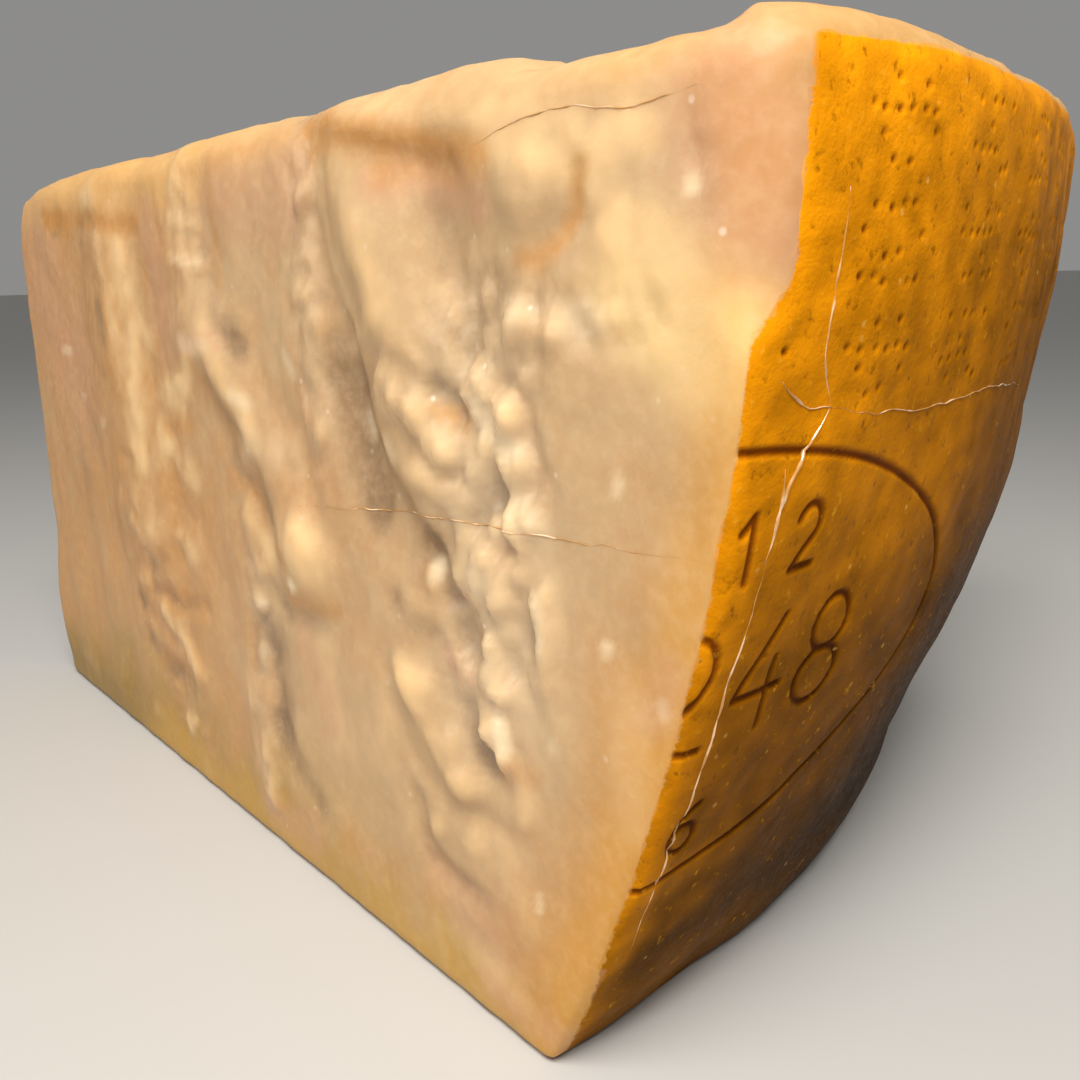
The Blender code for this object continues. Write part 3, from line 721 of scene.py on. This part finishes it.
def set_attribute(data, name, values):
    """Store one number per vertex for the materials to read."""
    made = data.attributes.new(name, "FLOAT", "POINT")
    made.data.foreach_set("value", values.astype(np.float32))


def set_colours(data, name, colours):
    """Store one colour per vertex for the materials to read."""
    made = data.color_attributes.new(name, "FLOAT_COLOR", "POINT")
    solid = np.column_stack([colours, np.ones(len(colours))])
    made.data.foreach_set("color", solid.astype(np.float32).ravel())


def rind_field(points):
    """Signed distance in millimetres from the edge of the rind: positive on the rind."""
    x, y, up = points.T
    from_rear = across(x, y)[1]
    chip = RIND_CHIP * ease(up, 85, 93) + RIND_FOOT_STRIP * ease(up, 26, 10)
    below_top = CHUNK_HEIGHT - up - RIND_TOP_STRIP * (1 - 0.8 * ease(y, 12, 60))
    wander = 0.6 * waves(points, 9, 12) + 0.2 * waves(points, 3, 14)
    curved = np.minimum(np.minimum(y - chip, from_rear), below_top) + wander
    base = np.minimum(y, from_rear) - up - 0.6
    return np.maximum(curved - rind_radius(up) + np.hypot(x, y), base)


def make_chunk_mesh():
    """The wedge with its marks, as mesh data in millimetres."""
    points, tones_and_painted_light, faces = chunk_grid()
    data = bpy.data.meshes.new("cheese_chunk")
    data.from_pydata(points.tolist(), [], faces)
    set_attribute(data, "tone_and_painted_light", tones_and_painted_light)
    mesh = bmesh.new()
    mesh.from_mesh(data)
    for reach in MARK_REACHES:
        refine_near_marks(mesh, reach)
    bmesh.ops.triangulate(mesh, faces=[face for face in mesh.faces if len(face.verts) > 4])
    mesh.to_mesh(data)
    mesh.free()

    places, normals = vertex_places(data), read_vertices(data.vertex_normals, "vector")
    field = rind_field(places)
    round_rind, up, on_rind = rind_places(places)
    on_rind &= field > -0.5
    depth, mark_painted_shade = np.zeros((2, len(places)))
    depth[on_rind], mark_painted_shade[on_rind] = mark_depths(round_rind[on_rind], up[on_rind])
    fade = ease(field, -0.5, 0.5)
    data.vertices.foreach_set("co", (places - normals * (depth * fade)[:, None]).ravel())
    set_attribute(data, "rind", field)
    # The marks' painted shade, faded at the edge of the rind.
    set_attribute(data, "mark", mark_painted_shade * fade)
    return data


# -------- colours of the cheese, with painted light and shade

# A stain is (path, half width, strength), its path as distances from the axis and heights.
# Amber spots, and painted shadow under the ledge, under the knob and beside the ridges.
AMBER_STAINS_AND_SHADOWS = (
    ([(142, 111), (154, 110), (163, 108), (173, 106), (181, 104.5)], 3.4, 0.75),
    ([(162, 105.5), (178, 104)], 4.2, 0.5),
    ([(197, 102), (196, 98), (193, 95), (189, 94)], 2, 0.65), ([(188, 94), (191, 94)], 2.4, 0.55),
    ([(190, 87), (193, 88)], 2, 0.5), ([(172, 77), (176, 76)], 2.2, 0.8),
    ([(144, 109), (150, 109)], 3.4, 0.6), ([(112, 110), (136, 111)], 2.6, 0.3),
    ([(28, 106), (41, 104)], 4.4, 1), ([(40, 105), (78, 102.5)], 3.4, 0.7),
    ([(52, 47), (60, 43), (70, 41)], 3.5, 0.3), ([(70, 21), (84, 20.5)], 3, 0.4),
    ([(102, 80), (110, 72), (120, 64)], 3.4, 0.3), ([(142, 11), (163, 11)], 5, 0.25),
    ([(127, 53), (132, 52)], 2.6, 0.4), ([(129, 46), (142, 47)], 3, 0.45),
    ([(112, 62), (122, 60)], 2.6, 0.35), ([(84, 68), (96, 69)], 3.4, 0.5),
    ([(80, 57), (94, 57)], 3.4, 0.35), ([(76, 36), (94, 36)], 3, 0.25),
    ([(112, 108), (113, 92)], 2.6, 0.35), ([(176, 56), (177, 51)], 2.4, 0.3),
    ([(182, 35), (188, 38)], 2.4, 0.4), ([(181, 14), (188, 9)], 5, 0.35),
    ([(212, 107), (218, 99)], 5, 0.35),
)
ROSY_STAINS = (
    ([(213, 107), (219, 95)], 10, 0.8), ([(114, 105), (137, 104)], 11, 0.55),
    ([(18, 92), (36, 76)], 26, 0.6), ([(86, 102), (90, 84)], 9, 0.6),
    ([(94, 84), (112, 83)], 3, 0.5), ([(171, 47), (176, 46)], 3, 0.5),
    ([(208, 55), (206, 50)], 4, 0.5), ([(166, 15), (180, 12)], 7, 0.4),
    ([(132, 40), (138, 30)], 6, 0.4), ([(160, 104), (168, 103), (180, 100)], 4, 0.6),
    ([(116, 6), (130, 6)], 6, 0.5), ([(178, 5), (190, 5)], 5, 0.5),
)
STRAW_STAINS = (([(204, 90), (212, 86)], 10, 0.5),)
# Crystals and milky spots, and painted glints of the film.
PALE_STAINS_AND_GLINTS = (
    ([(201, 72), (201.5, 72.5)], 1.4, 0.4), ([(199, 55), (199.5, 55)], 1.4, 0.5),
    ([(211, 99), (211.5, 99)], 1.4, 0.5), ([(207, 52), (207.5, 51)], 1.5, 0.3),
    ([(191, 42), (191.5, 42)], 1.6, 0.3), ([(187, 20), (187, 21)], 1.4, 0.4),
    ([(168, 57), (169, 57.5)], 2, 0.5), ([(181.5, 42), (182, 39)], 3, 0.65),
    ([(178, 59), (179, 57)], 4, 0.35), ([(117, 75), (121, 74)], 2.4, 0.45),
    ([(131, 48), (133, 48.5)], 1.6, 0.9), ([(29, 79), (33, 79)], 1.5, 0.4),
    ([(38, 70), (41, 70)], 1.3, 0.25), ([(50, 66), (53, 66)], 1.3, 0.25),
    ([(180, 78), (185, 74)], 4, 0.5), ([(185, 68), (189, 67)], 3.4, 0.35),
    ([(189, 58), (189, 53)], 2.4, 0.45), ([(186, 88), (198, 88)], 3.2, 0.28),
    ([(98, 96), (106, 95)], 1.6, 0.25), ([(99, 84), (110, 82)], 2.4, 0.3),
    ([(153, 75), (154, 73)], 2, 0.35), ([(159, 72), (160, 70)], 2, 0.35),
    ([(117.5, 42.5), (119, 43)], 1.8, 0.4), ([(116, 33), (117, 34)], 1.5, 0.25),
    ([(178, 78), (183, 62), (181, 46)], 16, 0.18), ([(118, 68), (134, 68)], 5, 0.16),
    ([(203, 50), (203, 38)], 5, 0.14), ([(134, 82), (136, 80)], 2, 0.3),
)

PASTE_TAN = (0.52, 0.335, 0.17)
PASTE_PINK = (0.465, 0.25, 0.122)
PASTE_ORANGE = (0.56, 0.27, 0.065)
# Cream of the ridges, also painted highlight on lit slopes.
PASTE_CREAM_AND_HIGHLIGHT = (0.78, 0.51, 0.245)
# Painted shade in grooves and hollows.
PASTE_PAINTED_SHADE = (0.23, 0.135, 0.066)
# Amber of the paste's spots, also painted shadow.
PASTE_AMBER_AND_SHADOW = (0.52, 0.225, 0.046)
PASTE_ROSY = (0.56, 0.293, 0.16)
PASTE_OCHRE = (0.39, 0.218, 0.048)
# Painted shade at the foot near the tip.
PASTE_FOOT_SHADE = (0.25, 0.14, 0.018)
PASTE_SOLE = (0.5, 0.27, 0.035)
# Warmer paste at the top edge near the tip, partly painted highlight.
PASTE_RIM_AND_HIGHLIGHT = (0.7, 0.395, 0.128)
# Painted shade that dims the lit top corner beside the rind.
PASTE_CORNER_SHADE = (0.54, 0.3, 0.1)
PASTE_BORDER = (0.6, 0.285, 0.04)
PASTE_STRAW = (0.92, 0.63, 0.26)
# Crystals and milky paste, also painted glints.
PASTE_WHITE_AND_GLINT = (0.92, 0.76, 0.5)
RIND_GOLD = (0.77, 0.275, 0.0025)
# The rind darker lower down: painted shade of its lower, downward-facing part.
RIND_AMBER_SHADED = (0.55, 0.195, 0.0015)
RIND_BROWN_SHADED = (0.25, 0.088, 0.001)
RIND_OLIVE_SHADED = (0.09, 0.033, 0.0005)
# Painted shade in the cut marks.
MARK_PAINTED_SHADE = (0.34, 0.22, 0.3)
# Colours that the materials use directly, with an alpha of 1.
PASTE_FINE = (0.82, 0.6, 0.36, 1)
# Crystals in the paste, also painted glints of the wet film.
PASTE_SPECK_AND_GLINT = (0.95, 0.88, 0.76, 1)
RIND_FLECK = (0.85, 0.42, 0.03, 1)
RIND_PIT = (0.1, 0.034, 0.0005, 1)
RIND_SPECK = (0.85, 0.5, 0.12, 1)
FILM_CLEAR = (0.5, 0.24, 0.05, 1)
FILM_MILKY = (0.8, 0.55, 0.34, 1)
FLOOR_COLOUR = (0.52, 0.51, 0.49, 1)
SURROUND_COLOUR = (0.95, 0.94, 0.92, 1)

FRONT_DEPTH = 7                       # points with less y than this belong to the front face
SPECK_RADIUS_SHARE = 0.15              # of the distance between specks


def stained(along, up, stains):
    """Strength of the strongest stain, painted shadow or painted glint at each place on the front
    face.
    """
    flat = flat_points(along, up)
    along = along + 1.1 * waves(flat, (6, 6, 1), 71.5)
    up = up + 1.1 * waves(flat, (6, 5, 1), 73.5)
    strength = np.zeros_like(along)
    for path, half_width, most in stains:
        share = hump(nearest_on_path(along, up, path)[0] / half_width)
        strength = np.maximum(strength, most * share)
    return strength


def blended(colours, *steps):
    """Colours moved, step by step, by a share towards another one."""
    for share, other in steps:
        colours = colours + np.clip(share, 0, 1)[:, None] * (np.array(other) - colours)
    return colours


def paste_colours(points, tone_and_painted_light):
    """Broken paste: tan panels, cream ridges, stains and crystals, with painted light and painted
    shade in hollows.
    """
    along, up = np.hypot(points[:, 0], points[:, 1]), points[:, 2]
    edge_gap = rind_radius(up) - along
    cloud = waves(points, 38, 20)
    mottle = waves(points, (9, 9, 12), 21) + 0.6 * waves(points, 4, 22)
    near_rind = ease(edge_gap, 18, 3) * (1 - 0.6 * ease(up, 48, 62))
    near_tip = 1 - ease(along, 84, 128)
    # Warmer band along the top edge near the tip, partly painted highlight.
    top_edge_and_highlight = ease(up + 2 * mottle, 101, 109) * (1 - 0.7 * ease(along, 110, 150))
    low = ease(up + 8 * cloud + 6 * mottle, 26, 2) * (0.95 - 0.6 * ease(along, 110, 160))
    colours = blended(
        np.tile(PASTE_TAN, (len(points), 1)),
        (0.7 * near_tip + 0.5 * cloud + 0.4 * mottle, PASTE_PINK),
        (0.85 * near_rind + 0.5 * near_tip + 0.25 * cloud + 0.2 * mottle, PASTE_ORANGE),
        (low, PASTE_OCHRE),
        (0.75 * top_edge_and_highlight, PASTE_RIM_AND_HIGHLIGHT),
        (0.75 * ease(up + 5 * mottle, 13, 2), PASTE_SOLE),
        # Painted shade at the foot near the tip.
        (0.85 * ease(up, 18, 4) * ease(along, 72, 42), PASTE_FOOT_SHADE),
        # Painted highlight on ridges and lit slopes, painted shade in grooves and hollows.
        (ease(tone_and_painted_light, 0, 1.4), PASTE_CREAM_AND_HIGHLIGHT),
        (0.9 * ease(-tone_and_painted_light, 0, 1.5), PASTE_PAINTED_SHADE),
        (0.6 * ease(edge_gap, 9, 2), PASTE_BORDER),
        # Painted shade dims the top corner beside the rind.
        (0.9 * ease(edge_gap, 34, 8) * ease(up, 106, 112), PASTE_CORNER_SHADE))
    front = points[:, 1] < FRONT_DEPTH
    # Stains, among them painted shadows and painted glints, on the front face.
    colours[front] = blended(colours[front], *(
        (stained(along[front], up[front], stains), colour)
        for stains, colour in ((ROSY_STAINS, PASTE_ROSY), (AMBER_STAINS_AND_SHADOWS, PASTE_AMBER_AND_SHADOW),
                               (STRAW_STAINS, PASTE_STRAW), (PALE_STAINS_AND_GLINTS, PASTE_WHITE_AND_GLINT))))
    return np.clip(colours, 0, 1)


def rind_colours(points, mottle, mark_painted_shade):
    """Oiled golden rind: painted shade low down and round the back, painted highlight at its front
    edge and foot.
    """
    round_rind, up = round_rind_at(points[:, 0], points[:, 1]), points[:, 2] + 3 * mottle
    # Darker lower down: painted shade of the rind's lower, downward-facing part.
    colours = blended(np.tile(RIND_GOLD, (len(points), 1)), (ease(up, 108, 84), RIND_AMBER_SHADED),
                      (ease(up, 76, 46), RIND_BROWN_SHADED), (ease(up, 46, 14), RIND_OLIVE_SHADED))
    # Painted shade round towards the back, stronger low down, with darker painted patches.
    round_painted_shade = ease(round_rind, 10, 75) * ease(up, 116, 98)
    round_painted_shade = 1 - (0.43 + 0.29 * ease(up, 66, 36)) * round_painted_shade
    round_painted_shade = round_painted_shade * (1 - 0.24 * hump(np.hypot((round_rind - 20) / 13, (up - 56) / 13)))
    round_painted_shade = round_painted_shade * (1 - 0.22 * ease(round_rind, 45, 62) * ease(up, 86, 74) * ease(up, 26, 36))
    # Painted highlight along the front edge, near it at two heights, and along the foot.
    edge = ease(round_rind, 7, 2) * (0.3 + 0.9 * ease(up, 75, 30) + 0.9 * ease(up, 34, 16))
    edge = edge + 1.1 * ease(round_rind, 24, 8) * hump((up - 27) / 9) + 0.9 * ease(up, 16, 8)
    edge = edge + 0.3 * ease(round_rind, 13, 5) * hump((up - 92) / 12)
    streaks, spotted = waves(points, (5, 5, 16), 31), waves(points, 2.6, 33)
    # Painted light and shade times the rind's own mottle, streaks and spots.
    painted_light_and_mottle = round_painted_shade * (1 + edge) * (1 + 0.22 * mottle + 0.18 * streaks + 0.3 * spotted)
    # Painted shade darkens the cut marks.
    colours = colours * painted_light_and_mottle[:, None] * (1 - mark_painted_shade[:, None] * (1 - np.array(MARK_PAINTED_SHADE)))
    return np.clip(colours, 0, 0.9)


def add_colours(data):
    """Store the colours of paste and rind with their painted light, and how wet the paste looks.
    """
    points, tone_and_painted_light = vertex_places(data), get_attribute(data, "tone_and_painted_light")
    front = points[:, 1] < FRONT_DEPTH
    wet = 0.15 * ease(points[:, 2], 112, 106)
    for path, left, right, rise, _ in FRONT_CRUMBLY:
        share = fold_share(points[front, 0], points[front, 2], path, left, right) ** 0.6
        wet[front] = np.maximum(wet[front], rise * share)
    set_attribute(data, "wet", wet)
    set_colours(data, "paste_colour", paste_colours(points, tone_and_painted_light))
    set_colours(data, "rind_colour", rind_colours(points, tone_and_painted_light, get_attribute(data, "mark")))


# -------- materials

def new_material(name):
    """A node material with its node tree and its Principled shader."""
    material = bpy.data.materials.new(name)
    material.use_nodes = True
    return material, material.node_tree, material.node_tree.nodes["Principled BSDF"]


def feed(tree, node, inputs):
    """Set a node's inputs, by name or number, to other nodes' outputs or to plain values."""
    for name, value in inputs.items():
        if isinstance(value, bpy.types.NodeSocket):
            tree.links.new(value, node.inputs[name])
        else:
            node.inputs[name].default_value = value


def add_node(tree, kind, inputs, **settings):
    """The outputs of a new node with its settings and inputs."""
    node = tree.nodes.new("ShaderNode" + kind)
    for name, value in settings.items():
        setattr(node, name, value)
    feed(tree, node, inputs)
    return node.outputs


def attribute(tree, name, kind="Fac"):
    """A number or colour stored at the mesh's vertices."""
    return add_node(tree, "Attribute", {}, attribute_name=name)[kind]


def calculate(tree, operation, first, second):
    """One step of arithmetic."""
    return add_node(tree, "Math", {0: first, 1: second}, operation=operation)[0]


def between(tree, value, low, high, to_low=0, to_high=1):
    """Map a range of values smoothly to another, held at both ends."""
    return add_node(tree, "MapRange", {"Value": value, "From Min": low, "From Max": high,
                                       "To Min": to_low, "To Max": to_high},
                    interpolation_type="SMOOTHSTEP")["Result"]


def mixed(tree, share, first, second):
    """A colour between two colours."""
    return add_node(tree, "Mix", {0: share, 6: first, 7: second}, data_type="RGBA")[2]


def object_place(tree):
    """The point on the object, in metres."""
    return add_node(tree, "TexCoord", {})["Object"]


def noise_texture(tree, place, size_mm, detail, roughness=0.5):
    """Smooth noise about 0.5, with features of a given size."""
    return add_node(tree, "TexNoise", {"Scale": 1000 / size_mm, "Detail": detail,
                                       "Roughness": roughness, "Vector": place})["Fac"]


def specks(tree, place, spacing_mm, rarity):
    """Small round spots, 1 at their middles; rarity is the share of cells without one."""
    cells = add_node(tree, "TexVoronoi", {"Scale": 1000 / spacing_mm, "Randomness": 0.9,
                                          "Vector": place})
    spot = between(tree, cells["Distance"], SPECK_RADIUS_SHARE, SPECK_RADIUS_SHARE * 0.35)
    chance = add_node(tree, "SeparateColor", {0: cells["Color"]})[0]
    return calculate(tree, "MULTIPLY", spot, between(tree, chance, rarity, 1))


def bumped(tree, height, distance, strength):
    """A normal roughened by a height, in metres at full strength."""
    return add_node(tree, "Bump", {"Distance": distance, "Strength": strength,
                                   "Height": height})["Normal"]


def cheese_colour(tree, fine):
    """Colour of paste and rind, which meet at a crumbly edge."""
    edge = calculate(tree, "ADD", attribute(tree, "rind"),
                     between(tree, fine, 0.3, 0.7, -0.35, 0.35))
    return mixed(tree, between(tree, edge, -0.25, 0.25), attribute(tree, "paste_colour", "Color"),
                 attribute(tree, "rind_colour", "Color"))


def paste_material():
    """Broken paste under a skin of tight clear film."""
    material, tree, shader = new_material("cheese_paste")
    place, wet = object_place(tree), attribute(tree, "wet")
    fine = noise_texture(tree, place, 1.8, 3, 0.6)
    film = noise_texture(tree, place, 2.6, 1)
    colour = mixed(tree, between(tree, fine, 0.35, 0.75, 0, 0.14), cheese_colour(tree, fine),
                   PASTE_FINE)
    # White specks where it is wet: partly crystals, partly painted glints of the film.
    spots = calculate(tree, "MULTIPLY", specks(tree, place, 3.6, 0.5), wet)
    shader.subsurface_method = "BURLEY"
    feed(tree, shader, {
        "Base Color": mixed(tree, spots, colour, PASTE_SPECK_AND_GLINT),
        "Roughness": between(tree, fine, 0.3, 0.7, 0.42, 0.6),
        "Specular IOR Level": 0.22,
        "Normal": bumped(tree, fine, 0.00018, 0.35),
        "Coat Weight": between(tree, wet, 0, 1, 0.04, 0.75),
        "Coat Roughness": 0.1,
        "Coat Normal": bumped(tree, film, 0.0006, 1),
        "Subsurface Weight": 0.35,
        "Subsurface Radius": (1, 0.45, 0.2),
        "Subsurface Scale": 0.004,
    })
    return material


def rind_material():
    """Oiled rind, dully glossy under the film, with pale flecks."""
    material, tree, shader = new_material("cheese_rind")
    place = object_place(tree)
    fine = noise_texture(tree, place, 1.5, 3, 0.65)
    colour = mixed(tree, between(tree, fine, 0.6, 0.8, 0, 0.5), cheese_colour(tree, fine),
                   RIND_FLECK)
    colour = mixed(tree, between(tree, fine, 0.42, 0.26, 0, 0.55), colour, RIND_PIT)
    spots = calculate(tree, "MULTIPLY", specks(tree, place, 3, 0.6), 0.5)
    feed(tree, shader, {
        "Base Color": mixed(tree, spots, colour, RIND_SPECK),
        "Roughness": between(tree, fine, 0.3, 0.7, 0.36, 0.55),
        "Specular IOR Level": 0.01,
        "Normal": bumped(tree, fine, 0.0003, 0.6),
        "Coat Weight": 0.02,
        "Coat Roughness": 0.15,
    })
    return material


def film_material():
    """Creased clear film, milky where it is folded double."""
    material, tree, shader = new_material("film_crease")
    cloud = noise_texture(tree, object_place(tree), 3, 2)
    feed(tree, shader, {
        "Base Color": mixed(tree, between(tree, cloud, 0.45, 0.65), FILM_CLEAR, FILM_MILKY),
        "Roughness": between(tree, cloud, 0.3, 0.7, 0.25, 0.4),
        "Coat Weight": 0.6,
        "Coat Roughness": 0.1,
    })
    return material


def assign_materials(data):
    """Paste material everywhere except on the faces of the rind."""
    data.materials.append(paste_material())
    data.materials.append(rind_material())
    field = get_attribute(data, "rind")
    for face in data.polygons:
        face.material_index = int(field[list(face.vertices)].mean() > 0)


# -------- into the frame

def offset_onto_frame(points):
    """The move that sets points about the wheel's axis, in metres, in the frame's box."""
    low, high = points.min(axis=0) / 1000, points.max(axis=0) / 1000
    offset = (np.array(CAD_LOW) + np.array(CAD_HIGH)) / 2 - (low + high) / 2
    offset[2] = CAD_LOW[2]
    return offset


def in_frame(points):
    """Places in the frame of points in millimetres about the wheel's axis."""
    return np.asarray(points) / 1000 + OFFSET


def in_box(points):
    """Places moved inside the frame's box where they stand proud of it."""
    return np.clip(in_frame(points), CAD_LOW, CAD_HIGH)


def add_object(name, data):
    """An object in the scene."""
    made = bpy.data.objects.new(name, data)
    bpy.context.scene.collection.objects.link(made)
    return made


chunk_data = make_chunk_mesh()
add_colours(chunk_data)
chunk_places = vertex_places(chunk_data)
OFFSET = offset_onto_frame(chunk_places)
chunk_tree = BVHTree.FromPolygons(chunk_places.tolist(),
                                  [list(face.vertices) for face in chunk_data.polygons])
chunk_data.vertices.foreach_set("co", in_box(chunk_places).ravel())
chunk_data.update()
chunk_data.shade_smooth()
assign_materials(chunk_data)
chunk = add_object("parmesan_cheese", chunk_data)
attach(chunk, "root")
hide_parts(NODE)


# -------- creases of the film

# A crease is (side, path, half width, height).
CREASES = (
    (FRONT, [(134, 61), (150, 62.5), (166, 64.2), (186, 65.4), (212, 67)], 0.12, 0.09),
    (FRONT, [(180, 105.5), (187, 107), (194, 107.4), (205, 106.4), (214, 107.5)], 0.11, 0.08),
    (RIND, [(10.6, 99), (10.4, 92), (9.8, 86), (10.6, 83), (12.3, 80)], 0.15, 0.16),
    (RIND, [(12.3, 80.4), (9.6, 77), (7.4, 73), (6.4, 67)], 0.2, 0.22),
    (RIND, [(6.4, 67), (5.9, 60), (5.4, 53), (5.4, 46), (4.9, 39), (4.3, 33), (4.3, 26),
            (4.6, 19)], 0.13, 0.16),
    (RIND, [(6.6, 75), (7.1, 71), (6.1, 66)], 0.18, 0.22),
    (RIND, [(4.6, 83), (8, 80.4), (12.3, 80)], 0.15, 0.18),
    (RIND, [(12.3, 80), (20, 78.6), (35, 78), (52, 78.6), (66, 77.4), (76, 76.6)], 0.11, 0.13),
)
CREASE_STEP = 0.8
CREASE_WANDER = 0.35
CREASE_SINK = 0.3
CREASE_PROBE = 30                     # where a crease's places are looked for on the surface
# Cross-section of a crease, as shares of its half width, its height and its sink.
CREASE_SECTION = ((-1, 0, 1), (-0.45, 0.75, 0), (0, 1, 0), (0.45, 0.75, 0), (1, 0, 1), (0, 0, 2))


def along_path(path, step, draw):
    """Evenly spaced points along a path of straight runs, wandering a little."""
    corners = np.array(path, dtype=float)
    reached = np.concatenate([[0], np.cumsum(np.hypot(*np.diff(corners, axis=0).T))])
    spots = np.linspace(0, reached[-1], max(int(reached[-1] / step), 4) + 1)
    line = np.stack([np.interp(spots, reached, corners[:, i]) for i in range(2)], axis=1)
    line[1:-1] += draw.uniform(-CREASE_WANDER, CREASE_WANDER, (len(line) - 2, 2))
    for _ in range(2):
        line[1:-1] = 0.5 * line[1:-1] + 0.25 * (line[:-2] + line[2:])
    return line


def on_surface(side, line):
    """Points of the chunk's surface and outward directions at (length, height) places."""
    along, up = line.T
    if side == FRONT:
        points = np.stack([along, np.zeros_like(along), up], axis=1)
        outward = np.tile([0.0, -1.0, 0.0], (len(line), 1))
    else:
        angle = along / RADIUS_AT_TOP
        outward = flat_points(np.cos(angle), np.sin(angle))
        points = outward * rind_radius(up)[:, None]
        points[:, 2] = up
    for i, (point, out) in enumerate(zip(points, outward)):
        found = chunk_tree.ray_cast(Vector(point + CREASE_PROBE * out), Vector(-out))[0]
        points[i] = point if found is None else found
    return points, outward


def crease_mesh(creases):
    """All creases as closed low ridges in one mesh, in millimetres."""
    draw = np.random.RandomState(31)
    points, faces = [], []
    size = len(CREASE_SECTION)
    for side, path, half_width, height in creases:
        middle, outward = on_surface(side, along_path(path, CREASE_STEP, draw))
        sideways = np.cross(outward, np.gradient(middle, axis=0))
        sideways /= np.linalg.norm(sideways, axis=1)[:, None]
        share = np.linspace(0, 1, len(middle))
        swell = np.clip(4 * np.minimum(share, 1 - share), 0.15, 1)
        swell = swell * draw.uniform(0.4, 1.5, len(middle))
        first = len(points)
        for centre, aside, out, wide in zip(middle, sideways, outward, swell):
            for across_share, up_share, sink_share in CREASE_SECTION:
                rise = height * wide * up_share - CREASE_SINK * sink_share
                points.append(centre + aside * half_width * wide * across_share + out * rise)
        last = len(points) - size
        for start in range(first, last, size):
            for j in range(size):
                after = (j + 1) % size
                faces.append((start + j, start + size + j, start + size + after, start + after))
        faces.append([first + j for j in range(size)])
        faces.append([last + j for j in reversed(range(size))])
    return np.array(points), faces


crease_points, crease_faces = crease_mesh(CREASES)
crease_data = bpy.data.meshes.new("film_creases")
crease_data.from_pydata(in_box(crease_points).tolist(), [], crease_faces)
crease_data.shade_smooth()
crease_data.materials.append(film_material())
creases = add_object("film_creases", crease_data)
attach(creases, "root")


# -------- floor, light, camera

FLOOR_HALF = 12
FLOOR_GAP = 0.0001
# The lights, in metres and watts: name, place, size, power and colour.
LIGHTS = (
    ("key", (0.285, -0.254, 0.479), 0.26, 4.4, (1, 0.97, 0.92)),
    ("fill", (-0.45, -0.8, 0.35), 0.6, 1.6, (1, 0.98, 0.96)),
)
SURROUND_STRENGTH = 0.28
# The camera, about the wheel's axis in millimetres and degrees.
CAMERA_PLACE = (278.4, -71.4, 92.4)
CAMERA_HEADING = 141.3                # from +X towards +Y
CAMERA_DIP = 13.5
CAMERA_ROLL = -1.3
CAMERA_LENS = 36.96
CAMERA_SENSOR = 36
CAMERA_CLIP_START = 0.005


def make_floor():
    """A wide pale floor under the chunk."""
    data = bpy.data.meshes.new("floor")
    corners = [(x * FLOOR_HALF, y * FLOOR_HALF, CAD_LOW[2] - FLOOR_GAP)
               for x, y in ((-1, -1), (1, -1), (1, 1), (-1, 1))]
    data.from_pydata(corners, [], [(0, 1, 2, 3)])
    material, tree, shader = new_material("pale_floor")
    feed(tree, shader, {"Base Color": FLOOR_COLOUR, "Roughness": 0.8})
    data.materials.append(material)
    floor = add_object("floor", data)


def make_lights():
    """A soft key from above the broken corner, a weak fill and a dim surround."""
    for name, place, size, power, colour in LIGHTS:
        data = bpy.data.lights.new(name, "AREA")
        data.size, data.energy, data.color = size, power, colour
        light = add_object(name, data)
        light.location = place
        way = Vector((0, 0, CHUNK_HEIGHT / 2000)) - light.location
        light.rotation_euler = way.to_track_quat("-Z", "Y").to_euler()
    world = bpy.data.worlds.new("surround")
    world.use_nodes = True
    feed(world.node_tree, world.node_tree.nodes["Background"],
         {"Color": SURROUND_COLOUR, "Strength": SURROUND_STRENGTH})
    bpy.context.scene.world = world


def make_camera():
    """The camera at the viewing angle that the chunk is known from."""
    data = bpy.data.cameras.new("camera")
    data.lens, data.sensor_width, data.clip_start = CAMERA_LENS, CAMERA_SENSOR, CAMERA_CLIP_START
    camera = add_object("camera", data)
    heading, dip = math.radians(CAMERA_HEADING), math.radians(CAMERA_DIP)
    forward = Vector((math.cos(heading) * math.cos(dip), math.sin(heading) * math.cos(dip),
                      -math.sin(dip)))
    roll = Matrix.Rotation(math.radians(CAMERA_ROLL), 3, "Z")
    camera.location = in_frame(CAMERA_PLACE)
    camera.rotation_mode = "QUATERNION"
    camera.rotation_quaternion = (
        forward.to_track_quat("-Z", "Y").to_matrix() @ roll).to_quaternion()
    bpy.context.scene.camera = camera


make_floor()
make_lights()
make_camera()
bpy.context.scene.view_settings.view_transform = "Standard"
